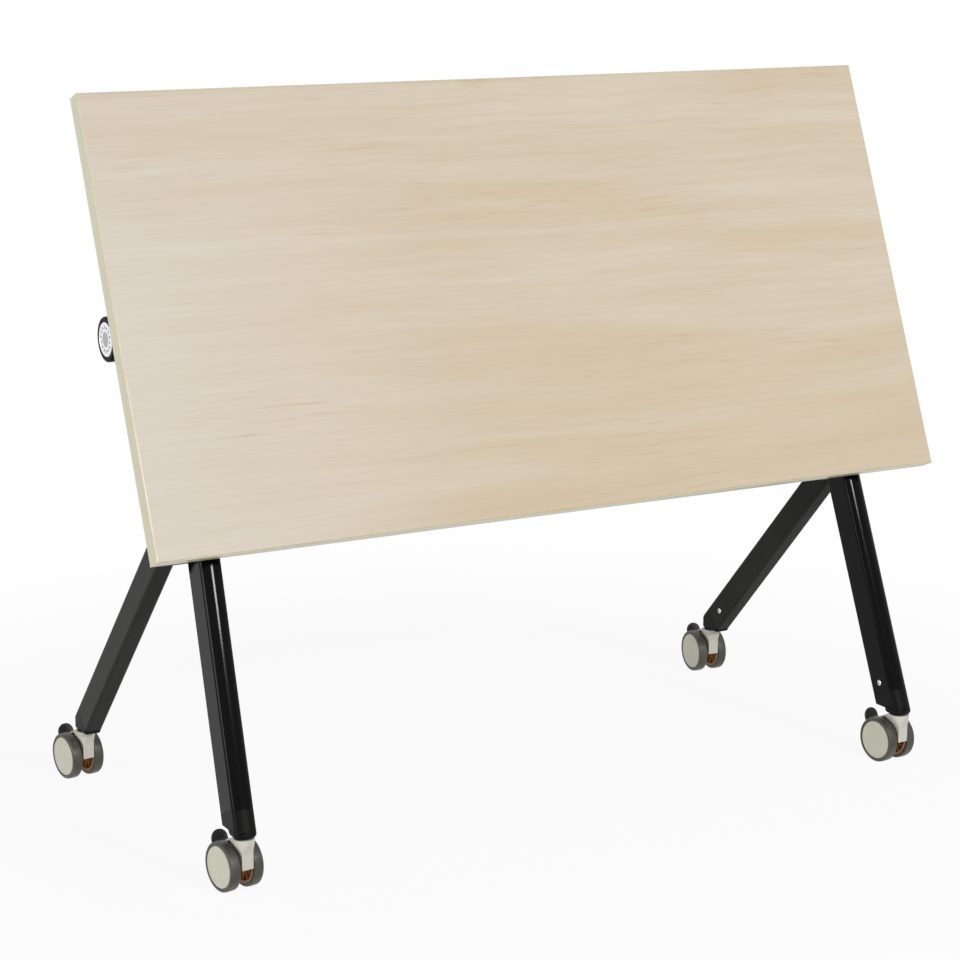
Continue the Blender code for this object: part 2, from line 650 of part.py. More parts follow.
def build_materials():
    return {
        "laminate": make_material("pale_laminate", (0.70, 0.60, 0.44), 0.45),
        "band": make_material("edge_band", (0.60, 0.55, 0.38), 0.5),
        "leg": make_material("black_gloss_paint", (0.012, 0.012, 0.012), 0.2, 0.3),
        "black_metal": make_material("black_powder_coat", (0.02, 0.02, 0.02), 0.5, 0.3),
        "black_plastic": make_material("black_plastic", (0.015, 0.015, 0.015), 0.5),
        "silver": make_material("brushed_silver", (0.75, 0.75, 0.76), 0.3, 0.9),
        "bush": make_material("white_acetal", (0.8, 0.8, 0.78), 0.4),
        "lever": make_material("grey_lever", (0.1, 0.1, 0.1), 0.4),
        "ivory": make_material("ivory_plastic", (0.66, 0.63, 0.54), 0.4),
        "tyre": make_material("grey_rubber", (0.08, 0.08, 0.065), 0.6),
        "pedal": make_material("dark_grey_plastic", (0.045, 0.045, 0.04), 0.5),
        "steel": make_material("bright_steel", (0.55, 0.55, 0.56), 0.3, 1.0),
    }


def main():
    clear_scene()
    materials = build_materials()
    root = make_empty("table")
    flip = make_empty("flip_axis", root, PIVOT, (math.pi / 2 - NEST_LEAN, 0.0, 0.0))
    build_top(flip, materials)
    build_beam(root, materials)
    for name, side in SIDES.items():
        build_bracket(name, side, flip, materials)
        build_lever(name, side, flip, materials)
        build_head(name, side, root, materials)
        build_legs(name, side, root, materials)
        build_front_foot(name, side, root, materials)
        build_rear_foot(name, side, root, materials)
        build_castor(f"front_{name}", front_stem(side), root, materials)
        build_castor(f"rear_{name}", rear_stem(side), root, materials)
    stand_on_origin(root)


main()
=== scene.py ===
# %% [markdown]
# # A flip-top table, stored with its top turned up
#
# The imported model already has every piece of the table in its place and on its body. This lesson keeps
# those places and gives each piece the shape, edges and finish of the real one. Everything is in metres,
# with Z up, the length along X and the user's side at -Y.

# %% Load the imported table
import json
import math

import bmesh
import bpy
from mathutils import Matrix, Vector


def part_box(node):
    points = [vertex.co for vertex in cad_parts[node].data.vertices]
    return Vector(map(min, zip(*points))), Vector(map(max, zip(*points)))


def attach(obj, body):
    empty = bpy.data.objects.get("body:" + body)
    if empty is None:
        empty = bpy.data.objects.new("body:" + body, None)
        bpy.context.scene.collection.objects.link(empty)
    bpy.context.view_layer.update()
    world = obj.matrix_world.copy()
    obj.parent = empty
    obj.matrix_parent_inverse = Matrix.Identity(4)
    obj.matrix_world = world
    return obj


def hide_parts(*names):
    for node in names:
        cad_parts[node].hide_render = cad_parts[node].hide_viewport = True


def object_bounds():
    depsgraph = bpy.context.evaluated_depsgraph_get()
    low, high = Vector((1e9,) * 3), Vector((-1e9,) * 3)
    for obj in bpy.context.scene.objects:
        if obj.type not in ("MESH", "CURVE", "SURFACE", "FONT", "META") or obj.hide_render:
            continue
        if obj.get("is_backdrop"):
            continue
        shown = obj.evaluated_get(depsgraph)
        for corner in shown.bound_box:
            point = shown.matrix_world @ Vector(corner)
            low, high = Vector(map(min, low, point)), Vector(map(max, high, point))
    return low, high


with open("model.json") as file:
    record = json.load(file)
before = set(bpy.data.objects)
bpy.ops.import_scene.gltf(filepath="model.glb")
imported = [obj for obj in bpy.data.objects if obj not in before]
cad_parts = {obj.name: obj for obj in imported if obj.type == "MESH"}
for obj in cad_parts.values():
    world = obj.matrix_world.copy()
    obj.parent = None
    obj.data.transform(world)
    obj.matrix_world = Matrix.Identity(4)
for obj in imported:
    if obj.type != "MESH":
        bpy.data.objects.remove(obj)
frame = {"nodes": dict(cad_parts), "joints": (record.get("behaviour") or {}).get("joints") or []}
cad_low, cad_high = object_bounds()
scene = bpy.context.scene
joints = {joint["name"]: joint for joint in frame["joints"]}
PIVOT = Vector(joints["top_flip"]["pos_m"])
SIDES = {"left": -1, "right": 1}
print(len(frame["nodes"]), "nodes, flip axis at", tuple(round(c, 4) for c in PIVOT))

# %% [markdown]
# The photograph was taken from the left, a little above the crossbeam, with a long lens. A lens of about
# 96 mm on a 36 mm sensor gives the same weak perspective. The camera hangs on the flip axis, so it stays
# right if the frame is packed again a little further forward or back.

# %% Camera
LENS_MM = 96.13
CAMERA_FROM_PIVOT = Vector((-1.7396, -3.0165, 0.5308))
CAMERA_YAW = math.radians(29.31)
CAMERA_PITCH = math.radians(12.57)

lens = bpy.data.cameras.new("camera")
lens.sensor_width = 36.0
lens.lens = LENS_MM
camera = bpy.data.objects.new("camera", lens)
camera.location = PIVOT + CAMERA_FROM_PIVOT
looking = Vector((
    math.sin(CAMERA_YAW) * math.cos(CAMERA_PITCH),
    math.cos(CAMERA_YAW) * math.cos(CAMERA_PITCH),
    -math.sin(CAMERA_PITCH),
))
camera.rotation_euler = looking.to_track_quat("-Z", "Y").to_euler()
scene.collection.objects.link(camera)
scene.camera = camera
scene.view_settings.view_transform = "Standard"
print("camera at", tuple(round(c, 3) for c in camera.location))

# %% [markdown]
# Node trees get long when every node takes four lines. Small helpers keep them readable: they wire a socket,
# add a node with its inputs, do a sum, add noise, stretch a range of values and mix two colours.

# %% Helpers for node trees
def plug(tree, source, socket):
    """Wire a socket into another, or write a plain number or colour into it."""
    if isinstance(source, bpy.types.NodeSocket):
        tree.links.new(source, socket)
    else:
        socket.default_value = source


def feed(tree, node, inputs):
    for label, source in inputs.items():
        plug(tree, source, node.inputs[label])


def add_node(tree, kind, inputs=None, **settings):
    made = tree.nodes.new("ShaderNode" + kind)
    for name, setting in settings.items():
        setattr(made, name, setting)
    feed(tree, made, inputs or {})
    return made


def sums(tree, operation, first, second=0.0, third=0.0):
    return add_node(tree, "Math", {0: first, 1: second, 2: third}, operation=operation).outputs[0]


def noise(tree, place, scale, detail=2.0, roughness=0.5):
    inputs = {"Vector": place, "Scale": scale, "Detail": detail, "Roughness": roughness}
    return add_node(tree, "TexNoise", inputs).outputs[0]


def spread(tree, source, low, high, to_low=0.0, to_high=1.0):
    """Stretch a range of values onto another and hold it there."""
    inputs = dict(enumerate((source, low, high, to_low, to_high)))
    return add_node(tree, "MapRange", inputs, clamp=True).outputs[0]


def mix_colours(tree, amount, first, second):
    return add_node(tree, "Mix", {0: amount, 6: first, 7: second}, data_type="RGBA").outputs[2]


def object_place(tree):
    return add_node(tree, "TexCoord").outputs["Object"]


def split(tree, place):
    return add_node(tree, "SeparateXYZ", {0: place}).outputs


print("helpers ready")

# %% [markdown]
# Colours are easiest to judge as screen values from 0 to 255, but the shader wants linear light. One
# function does the change, so every colour below is written the way the eye reads it.

# %% Screen colours
def screen(red, green, blue):
    def linear(level):
        level = level / 255.0
        return level / 12.92 if level <= 0.04045 else ((level + 0.055) / 1.055) ** 2.4

    return (linear(red), linear(green), linear(blue), 1.0)


print("mid grey", tuple(round(c, 3) for c in screen(128, 128, 128)))

# %% [markdown]
# The table stands in a white studio. A lit floor is never quite white, so the camera, and mirror-like
# surfaces, see it lifted towards white, while the light that bounces off it stays plain. Part of what the
# camera sees near the table is still the lit floor, so the shadow under the wheels remains. Further out the
# floor turns into the white backdrop.

# %% Floor and surroundings
FLOOR_LIFT = 0.92
LIFT_STARTS, LIFT_ENDS = 0.70, 1.50
FLOOR_PAINT, WHITE = (0.82, 0.82, 0.82, 1.0), (1.0, 1.0, 1.0, 1.0)
FLOOR_RADIUS = 30.0
AMBIENT = 0.27


def seen_directly(tree):
    path = add_node(tree, "LightPath").outputs
    seen = sums(tree, "MAXIMUM", path["Is Camera Ray"], path["Is Glossy Ray"])
    return sums(tree, "MAXIMUM", seen, path["Is Transmission Ray"])


def floor_finish():
    made = bpy.data.materials.new("studio_floor")
    made.use_nodes = True
    tree = made.node_tree
    tree.nodes.clear()
    paint = add_node(tree, "BsdfDiffuse", {"Color": FLOOR_PAINT})
    lift = add_node(tree, "Emission", {"Color": WHITE, "Strength": 1.0})
    away = add_node(tree, "VectorMath", {0: object_place(tree)}, operation="LENGTH")
    share = spread(tree, away.outputs["Value"], LIFT_STARTS, LIFT_ENDS, FLOOR_LIFT, 1.0)
    share = sums(tree, "MULTIPLY", seen_directly(tree), share)
    both = add_node(tree, "MixShader", {0: share, 1: paint.outputs[0], 2: lift.outputs[0]})
    add_node(tree, "OutputMaterial", {"Surface": both.outputs[0]})
    return made


bm = bmesh.new()
bmesh.ops.create_circle(bm, cap_ends=True, segments=64, radius=FLOOR_RADIUS)
floor_mesh = bpy.data.meshes.new("floor")
bm.to_mesh(floor_mesh)
bm.free()
floor_mesh.materials.append(floor_finish())
floor = bpy.data.objects.new("floor", floor_mesh)
scene.collection.objects.link(floor)
floor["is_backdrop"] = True

world = bpy.data.worlds.new("studio")
scene.world = world
world.use_nodes = True
tree = world.node_tree
tree.nodes.clear()
glow = spread(tree, seen_directly(tree), 0.0, 1.0, AMBIENT, 1.0)
sky = add_node(tree, "Background", {"Color": WHITE, "Strength": glow})
add_node(tree, "OutputWorld", {"Surface": sky.outputs[0]})
print("floor and surroundings set, ambient", AMBIENT)

# %% [markdown]
# Two soft lamps do the rest. The key lamp stands behind the camera, to its right and above it: its image in
# the gloss paint is the thin bright line on the rounded faces of the front legs, and that line ends where
# the lamp's lower edge does. A broad fill lamp to the camera's left lights what the key leaves dark.

# %% Lamps
def softbox(name, place, target, width, height, power):
    lamp = bpy.data.lights.new(name, "AREA")
    lamp.shape = "RECTANGLE"
    lamp.size = width
    lamp.size_y = height
    lamp.energy = power
    made = bpy.data.objects.new(name, lamp)
    made.location = place
    aim = Vector(target) - Vector(place)
    made.rotation_euler = aim.to_track_quat("-Z", "Y").to_euler()
    made.visible_camera = False
    scene.collection.objects.link(made)
    return made


softbox("key_light", (0.97, -4.2, 2.38), (0.0, -0.1, 0.55), 0.76, 0.52, 106.0)
softbox("fill_light", (-6.0, -1.43, 1.87), (0.0, 0.0, 0.3), 2.86, 2.14, 154.0)
print("two lamps")

# %% [markdown]
# Painted metal, moulded plastic and rubber are never one flat colour: they carry a faint cloudiness, a
# fine grain and small changes of gloss. That effect is shared, so it is one node group. It gives a
# colour, a roughness and a grain height, and each material sets its own scales and strengths.

# %% Group: surface life
def new_group(name, inputs, outputs):
    group = bpy.data.node_groups.new(name, "ShaderNodeTree")
    for label, kind, start in inputs:
        made = group.interface.new_socket(label, in_out="INPUT", socket_type="NodeSocket" + kind)
        made.default_value = start
    for label, kind in outputs:
        group.interface.new_socket(label, in_out="OUTPUT", socket_type="NodeSocket" + kind)
    return group, group.nodes.new("NodeGroupInput").outputs, group.nodes.new("NodeGroupOutput")


def build_surface_life():
    inputs = (
        ("Color", "Color", (0.5, 0.5, 0.5, 1.0)),
        ("Cloud Scale", "Float", 12.0),
        ("Cloud Depth", "Float", 0.08),
        ("Grain Scale", "Float", 900.0),
        ("Roughness", "Float", 0.4),
        ("Roughness Swing", "Float", 0.08),
    )
    outputs = (("Color", "Color"), ("Roughness", "Float"), ("Grain", "Float"))
    group, given, result = new_group("surface_life", inputs, outputs)
    place = object_place(group)
    cloud = spread(group, noise(group, place, given["Cloud Scale"], 4.0, 0.6), 0.3, 0.7, -1.0, 1.0)
    tone = sums(group, "MULTIPLY_ADD", cloud, given["Cloud Depth"], 1.0)
    shade = add_node(group, "VectorMath", {0: given["Color"], "Scale": tone}, operation="SCALE")
    grain = noise(group, place, given["Grain Scale"])
    swing = sums(group, "SUBTRACT", noise(group, place, 60.0, 3.0), 0.5)
    gloss = sums(group, "MULTIPLY_ADD", swing, given["Roughness Swing"], given["Roughness"])
    feed(group, result, {"Color": shade.outputs[0], "Roughness": gloss, "Grain": grain})
    return group


surface_life = build_surface_life()
print("group", surface_life.name)

# %% [markdown]
# Castors and feet live near the floor, where dust settles in soft patches. The second group puts out a
# dust mask that fades with height above the floor and is broken up by noise.

# %% Group: floor dust
def build_floor_dust():
    inputs = (("Reach", "Float", 0.09), ("Amount", "Float", 0.3))
    group, given, result = new_group("floor_dust", inputs, (("Mask", "Float"),))
    place = object_place(group)
    low = sums(group, "SUBTRACT", 1.0, sums(group, "DIVIDE", split(group, place)["Z"], given["Reach"]))
    low = sums(group, "MAXIMUM", low, 0.0)
    patch = spread(group, noise(group, place, 55.0, 5.0, 0.65), 0.42, 0.68)
    mask = sums(group, "MULTIPLY", sums(group, "MULTIPLY", low, patch), given["Amount"])
    feed(group, result, {"Mask": mask})
    return group


floor_dust = build_floor_dust()
print("group", floor_dust.name)

# %% [markdown]
# With the groups in place, most finishes are one call: a colour, a roughness, how cloudy and how grainy.
# Values that are the same all over, such as the strength of the mirror-like part, go straight onto the
# shader. The group's colour and roughness are wired in, and its grain feeds a bump.

# %% Material helper
DUST_COLOUR, DUST_ROUGHNESS = screen(186, 180, 168), 0.9


def new_material(name):
    made = bpy.data.materials.new(name)
    made.use_nodes = True
    return made, made.node_tree, made.node_tree.nodes["Principled BSDF"]


def bump(tree, height, strength, distance):
    inputs = {"Height": height, "Strength": strength, "Distance": distance}
    return add_node(tree, "Bump", inputs).outputs[0]


def finish(name, colour, roughness, swing, cloud, depth, grain, relief, dust=0.0, metallic=0.0, mirror=0.5):
    made, tree, shader = new_material(name)
    life = add_node(tree, "Group", {
        "Color": colour, "Cloud Scale": cloud, "Cloud Depth": depth, "Grain Scale": grain,
        "Roughness": roughness, "Roughness Swing": swing}, node_tree=surface_life).outputs
    shade, gloss = life["Color"], life["Roughness"]
    if dust:
        mask = add_node(tree, "Group", {"Amount": dust}, node_tree=floor_dust).outputs["Mask"]
        shade = mix_colours(tree, mask, shade, DUST_COLOUR)
        gloss = spread(tree, mask, 0.0, 1.0, gloss, DUST_ROUGHNESS)
    feed(tree, shader, {
        "Base Color": shade, "Roughness": gloss, "Metallic": metallic, "Specular IOR Level": mirror,
        "Normal": bump(tree, life["Grain"], 1.0, relief)})
    return made


print("material helper ready")

# %% [markdown]
# The frame's finishes: gloss black paint on the legs, a duller powder coat on castings, black moulded
# plastic at feet and caps. The paint's mirror part is weak, so that it stays near black face on and turns
# grey only where the view grazes it, as on the flat sides of the legs in the photograph. The rear legs look
# a little duller than the front ones.

# %% Finishes of the frame
leg_paint = finish("leg_gloss_paint", screen(5, 5, 5), 0.10, 0.03, 9.0, 0.15, 700.0, 0.000004, mirror=0.085)
rear_paint = finish("leg_satin_paint", screen(55, 55, 54), 0.26, 0.06, 9.0, 0.10, 700.0, 0.00002, mirror=0.02)
casting_coat = finish("casting_powder_coat", screen(30, 30, 30), 0.5, 0.12, 30.0, 0.12, 1400.0, 0.0002)
foot_plastic = finish("foot_plastic", screen(12, 12, 11), 0.42, 0.1, 30.0, 0.1, 1500.0, 0.0001, 0.02,
                      mirror=0.08)
cap_plastic = finish("cap_plastic", screen(5, 5, 5), 0.34, 0.08, 40.0, 0.1, 1500.0, 0.00006, mirror=0.035)
screw_zinc = finish("screw_zinc", screen(202, 204, 206), 0.28, 0.1, 300.0, 0.1, 2500.0, 0.00004, metallic=1.0)
bright_steel = finish("bright_steel", screen(190, 190, 192), 0.3, 0.12, 120.0, 0.08, 2500.0, 0.00004,
                      metallic=1.0)
bush_acetal = finish("bush_acetal", screen(226, 225, 219), 0.42, 0.08, 40.0, 0.05, 1500.0, 0.00005)
lever_paint = finish("lever_paint", screen(88, 89, 90), 0.4, 0.1, 40.0, 0.1, 1300.0, 0.0001)
print("nine frame finishes")

# %% [markdown]
# The castors' finishes: ivory moulded housings and cover discs, grey rubber tyres, brown wheel cores that
# show through the gap, and dark pedals. They take a little floor dust.

# %% Finishes of the castors
ivory_plastic = finish("ivory_plastic", screen(212, 209, 197), 0.4, 0.1, 45.0, 0.04, 1600.0, 0.00005, 0.18)
cover_plastic = finish("cover_plastic", screen(212, 211, 193), 0.36, 0.1, 60.0, 0.04, 1600.0, 0.00005, 0.18)
tyre_rubber = finish("tyre_rubber", screen(62, 62, 54), 0.40, 0.12, 70.0, 0.12, 2000.0, 0.00006, 0.12,
                     mirror=0.45)
core_plastic = finish("core_plastic", screen(222, 158, 84), 0.42, 0.1, 70.0, 0.12, 1500.0, 0.0001, 0.08,
                      mirror=0.4)
pedal_plastic = finish("pedal_plastic", screen(56, 56, 54), 0.5, 0.1, 60.0, 0.1, 1500.0, 0.00012, 0.15,
                       mirror=0.35)
# A painted highlight: the pale colour of the lit inner edge of the wheel core's rim.
painted_rim_highlight = finish("painted_rim_highlight", screen(222, 196, 152), 0.42, 0.1, 70.0, 0.06, 1500.0, 0.0001, 0.05,
                   mirror=0.4)
print("six castor finishes")

# %% [markdown]
# The laminate is a printed pale maple: long soft clouds along X, fine fibres, and clusters of short darker
# dashes. A painted sheen makes the left end paler and cooler, most of all lower down, and a painted shade
# makes the lower right darker and warmer. The pattern is worked out in the board's own axes, so a Mapping
# node first turns the table's axes back by the lean of the top. A slow noise bends the coordinates across the
# grain, and the peaks of a stretched noise make the dashes.

# %% Laminate
NEST_LEAN = math.radians(22.0)
TOP_TURN = math.pi / 2 - NEST_LEAN
FLIP = Matrix.Translation(PIVOT) @ Matrix.Rotation(TOP_TURN, 4, "X")
MAPLE_PALE = screen(223, 212, 195)
MAPLE_WARM = screen(213, 195, 168)
MAPLE_LINE = screen(196, 169, 131)
# Colour of a painted sheen, laid on the left end of the board, most of all lower down.
MAPLE_PAINTED_SHEEN = screen(232, 226, 217)
BEND_SCALE = (3.0, 5.0, 5.0)


def board_axes(tree, stretch, bend=0.0):
    """Object coordinates turned into the board's axes, bent across the grain, and stretched."""
    place = add_node(tree, "Mapping", {
        "Vector": object_place(tree), "Rotation": (-TOP_TURN, 0.0, 0.0),
        "Location": FLIP.inverted().translation}).outputs[0]
    if bend:
        slow = add_node(tree, "Mapping", {"Vector": place, "Scale": BEND_SCALE}).outputs[0]
        swing = spread(tree, noise(tree, slow, 1.0), 0.0, 1.0, -bend, bend)
        across = add_node(tree, "CombineXYZ", {"Y": swing}).outputs[0]
        place = add_node(tree, "VectorMath", {0: place, 1: across}, operation="ADD").outputs[0]
    return add_node(tree, "Mapping", {"Vector": place, "Scale": stretch}).outputs[0]


def laminate_finish():
    made, tree, shader = new_material("pale_maple_laminate")

    def streaks(along, across, bend, detail, roughness, low, high):
        place = board_axes(tree, (along, across, across), bend)
        return spread(tree, noise(tree, place, 1.0, detail, roughness), low, high)

    def both(first, second):
        return sums(tree, "MULTIPLY", first, second)

    cloud = streaks(1.9, 22.0, 0.018, 4.0, 0.55, 0.34, 0.66)
    band = streaks(3.0, 105.0, 0.016, 4.0, 0.65, 0.43, 0.66)
    dash = streaks(12.0, 240.0, 0.022, 2.0, 0.5, 0.56, 0.72)
    cluster = streaks(3.5, 13.0, 0.0, 3.0, 0.5, 0.46, 0.64)
    fibre = streaks(7.0, 430.0, 0.0, 3.0, 0.6, 0.35, 0.7)
    place = split(tree, board_axes(tree, (1.0, 1.0, 1.0)))
    # Painted sheen: the left end turns paler and cooler, most of all lower down.
    painted_sheen = both(spread(tree, place["X"], -0.60, -0.15, 0.60, 0.0),
                spread(tree, place["Y"], 0.08, 0.26, 1.0, 0.4))
    # Painted shade: the lower right turns darker and warmer, mixed towards MAPLE_WARM.
    painted_shade = both(spread(tree, place["X"], -0.35, 0.0, 0.0, 0.50),
                spread(tree, place["Y"], -0.26, 0.10, 1.0, 0.0))
    shade = MAPLE_PALE
    for amount, colour in (
            (both(cloud, 0.72), MAPLE_WARM), (both(band, 0.46), MAPLE_WARM),
            (painted_sheen, MAPLE_PAINTED_SHEEN), (painted_shade, MAPLE_WARM),
            (both(both(dash, cluster), 0.36), MAPLE_LINE), (both(fibre, 0.13), MAPLE_LINE)):
        shade = mix_colours(tree, amount, shade, colour)
    feed(tree, shader, {
        "Base Color": shade, "Roughness": spread(tree, fibre, 0.0, 1.0, 0.68, 0.76),
        "Specular IOR Level": 0.12, "Normal": bump(tree, fibre, 0.5, 0.00005)})
    return made


laminate = laminate_finish()
print("laminate in board axes, turned back by", round(math.degrees(TOP_TURN), 1), "degrees")

# %% [markdown]
# The edge band is a 2 mm plastic strip, a little greener and flatter than the laminate, with faint streaks
# along its length. It uses the same board axes, so the streaks run along each strip.

# %% Edge band
BAND_BASE = screen(218, 212, 184)
BAND_STREAK = screen(202, 192, 160)


def band_finish():
    made, tree, shader = new_material("edge_band_plastic")
    streak = noise(tree, board_axes(tree, (7.0, 7.0, 420.0)), 1.0, 3.0, 0.6)
    amount = spread(tree, streak, 0.40, 0.75, 0.0, 0.55)
    feed(tree, shader, {
        "Base Color": mix_colours(tree, amount, BAND_BASE, BAND_STREAK),
        "Roughness": spread(tree, streak, 0.3, 0.7, 0.24, 0.34), "Normal": bump(tree, streak, 0.5, 0.00005)})
    return made


edge_band = band_finish()
print("edge band ready")

# %% [markdown]
# The round plate in the end cap is turned metal: fine rings about the crossbeam's axis, a duller centre and a
# ring of plain ticks where the real one is printed. The distance from that axis drives the rings and the
# angle about it the ticks, so a Mapping node first moves the axis to zero.

# %% Turned plate
TICK_COUNT, TICK_RADIUS, CENTRE_RADIUS = 14.0, 0.0152, 0.0095
PLATE_DULL, PLATE_BRIGHT, PLATE_MARK = screen(224, 225, 227), screen(244, 244, 245), screen(78, 78, 82)


def plate_finish():
    made, tree, shader = new_material("turned_silver")
    centred = add_node(tree, "Mapping", {"Vector": object_place(tree), "Location": -PIVOT})
    place = split(tree, centred.outputs[0])
    y, z = place["Y"], place["Z"]
    radius = sums(tree, "SQRT", sums(tree, "MULTIPLY_ADD", z, z, sums(tree, "MULTIPLY", y, y)))
    rings = noise(tree, add_node(tree, "CombineXYZ", {"X": radius}).outputs[0], 2600.0)
    turns = sums(tree, "MULTIPLY", sums(tree, "ARCTAN2", z, y), TICK_COUNT)
    off_ring = sums(tree, "ABSOLUTE", sums(tree, "SUBTRACT", radius, TICK_RADIUS))
    ticks = sums(tree, "MULTIPLY", spread(tree, sums(tree, "SINE", turns), 0.1, 0.4),
                 spread(tree, off_ring, 0.0012, 0.0018, 1.0, 0.0))
    centre = spread(tree, radius, CENTRE_RADIUS, CENTRE_RADIUS + 0.0006, 0.55, 0.0)
    shade = mix_colours(tree, rings, PLATE_DULL, PLATE_BRIGHT)
    feed(tree, shader, {
        "Base Color": mix_colours(tree, sums(tree, "MAXIMUM", ticks, centre), shade, PLATE_MARK),
        "Roughness": spread(tree, rings, 0.3, 0.7, 0.30, 0.46), "Metallic": 0.85,
        "Normal": bump(tree, rings, 0.5, 0.00004)})
    return made


turned_silver = plate_finish()
print("turned silver ready")

# %% [markdown]
# Every piece ends the same way: its normals are put right, its mesh becomes an object at the origin, soft
# shading stops at its creases, it is tied to a body, and the imported nodes that it stands for are hidden.
# Shading normals are weighted by area, so that a long flat face stays flat and only its narrow rounds bend
# the light.

# %% Piece helper
made_pieces = []
SHARP = math.radians(32.0)


def face_out(bm):
    bmesh.ops.recalc_face_normals(bm, faces=bm.faces[:])


def piece(name, bm, material, body, nodes=()):
    face_out(bm)
    mesh = bpy.data.meshes.new(name)
    bm.to_mesh(mesh)
    bm.free()
    mesh.shade_smooth()
    mesh.set_sharp_from_angle(angle=SHARP)
    mesh.materials.append(material)
    made = bpy.data.objects.new(name, mesh)
    scene.collection.objects.link(made)
    weighted = made.modifiers.new("weighted_normals", "WEIGHTED_NORMAL")
    weighted.keep_sharp = True
    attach(made, body)
    if nodes:
        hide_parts(*nodes)
    made_pieces.append(made)


print("piece helper ready")

# %% [markdown]
# A few shaping helpers cover nearly all of the table. A slab is a cube scaled to two corners. A turned shape
# is a profile spun about X, such as a pipe or a rod, and a disc stands on Z. A face is grown into a solid by
# extruding it. Trimming cuts a shape with a plane and closes the cut. Rounding bevels edges, and softening
# does so to all that are sharp enough. A piece moulded from several closed shapes is put together by joined.

# %% Shaping helpers
FIT = 0.0003


def only_verts(items):
    return [item for item in items if isinstance(item, bmesh.types.BMVert)]


def slab(low, high):
    bm = bmesh.new()
    bmesh.ops.create_cube(bm, size=1.0)
    low, high = Vector(low), Vector(high)
    bmesh.ops.scale(bm, vec=high - low, verts=bm.verts)
    bmesh.ops.translate(bm, vec=(low + high) / 2, verts=bm.verts)
    return bm


def turned(profile, steps=72, sign=1):
    """Spin a line of (x, radius) points a full turn about X, mirrored where the sign is -1."""
    bm = bmesh.new()
    line = [bm.verts.new((sign * x, radius, 0.0)) for x, radius in profile]
    edges = [bm.edges.new(pair) for pair in zip(line, line[1:])]
    bmesh.ops.spin(bm, geom=line + edges, cent=(0, 0, 0), axis=(1, 0, 0),
                   angle=2 * math.pi, steps=steps, use_merge=True)
    bmesh.ops.remove_doubles(bm, verts=bm.verts, dist=1e-6)
    face_out(bm)
    return bm


def disc(radius, height, segments, centre):
    bm = bmesh.new()
    bmesh.ops.create_cone(bm, cap_ends=True, segments=segments, radius1=radius, radius2=radius, depth=height)
    bmesh.ops.translate(bm, vec=centre, verts=bm.verts)
    return bm


def grown(bm, faces, shift):
    """Extrude faces by a shift into a closed solid."""
    made = bmesh.ops.extrude_face_region(bm, geom=faces)
    bmesh.ops.translate(bm, vec=shift, verts=only_verts(made["geom"]))
    face_out(bm)
    return bm


def trim(bm, point, normal):
    """Take away what lies beyond a plane and close the cut."""
    everything = bm.verts[:] + bm.edges[:] + bm.faces[:]
    cut = bmesh.ops.bisect_plane(bm, geom=everything, dist=1e-7, plane_co=point,
                                 plane_no=normal, clear_outer=True)
    rim = [item for item in cut["geom_cut"] if isinstance(item, bmesh.types.BMEdge)]
    bmesh.ops.holes_fill(bm, edges=rim, sides=0)


def creases(bm, degrees=35.0):
    limit = math.radians(degrees)
    return [edge for edge in bm.edges if edge.is_manifold and edge.calc_face_angle() > limit]


def round_edges(bm, edges, width, steps=2):
    bmesh.ops.bevel(bm, geom=edges, offset=width, offset_type="OFFSET", segments=steps,
                    profile=0.5, affect="EDGES", clamp_overlap=True, material=-1)


def soften(bm, width, steps=2, degrees=35.0):
    round_edges(bm, creases(bm, degrees), width, steps)
    return bm


def pipe(low, high, inner, outer, steps, width):
    profile = [(low, inner), (low, outer), (high, outer), (high, inner), (low, inner)]
    return soften(turned(profile, steps), width)


def rod(low, high, radius, steps, width):
    return soften(turned([(low, 0.0), (low, radius), (high, radius), (high, 0.0)], steps), width)


def placed(bm, matrix):
    bmesh.ops.transform(bm, matrix=matrix, verts=bm.verts)
    return bm


def joined(*shapes):
    """Put closed shells into one mesh."""
    whole = bmesh.new()
    for shape in shapes:
        face_out(shape)
        shell = bpy.data.meshes.new("shell")
        shape.to_mesh(shell)
        shape.free()
        whole.from_mesh(shell)
        bpy.data.meshes.remove(shell)
    return whole


print("shaping helpers ready")

# %% [markdown]
# The top is a 25 mm board with a 2 mm band on each edge. On the real one the band is pressed on and its
# two long corners are scraped round, which is what makes the thin pale line round the face. The board is a
# slab with barely broken edges, and the bands are slabs whose outer corners get a 1 mm round.

# %% Board and edge bands
HALF_LENGTH, HALF_DEPTH = 0.600, 0.300
TOP_UNDER, TOP_OVER = 0.050, 0.075
BAND = 0.002
BAND_ROUND = 0.0011

core_x, core_y = HALF_LENGTH - BAND, HALF_DEPTH - BAND
bm = slab((-core_x, -core_y, TOP_UNDER), (core_x, core_y, TOP_OVER))
round_edges(bm, bm.edges[:], 0.0002)
piece("board", placed(bm, FLIP), laminate, "top", ["tabletop_board"])

bands = {
    "front": ((-HALF_LENGTH, -HALF_DEPTH), (HALF_LENGTH, -core_y)),
    "rear": ((-HALF_LENGTH, core_y), (HALF_LENGTH, HALF_DEPTH)),
    "left": ((-HALF_LENGTH, -core_y), (-core_x, core_y)),
    "right": ((core_x, -core_y), (HALF_LENGTH, core_y)),
}
for name, (low, high) in bands.items():
    bm = slab((*low, TOP_UNDER), (*high, TOP_OVER))
    outer = [edge for edge in bm.edges if all(
        max(abs(v.co.x) - HALF_LENGTH, abs(v.co.y) - HALF_DEPTH) > -1e-6 for v in edge.verts)]
    outer = [edge for edge in outer if edge.calc_length() > 0.1]
    round_edges(bm, outer, BAND_ROUND, 3)
    piece(f"band_{name}", placed(bm, FLIP), edge_band, "top", [f"edge_band_{name}"])
print("board and", len(bands), "bands")

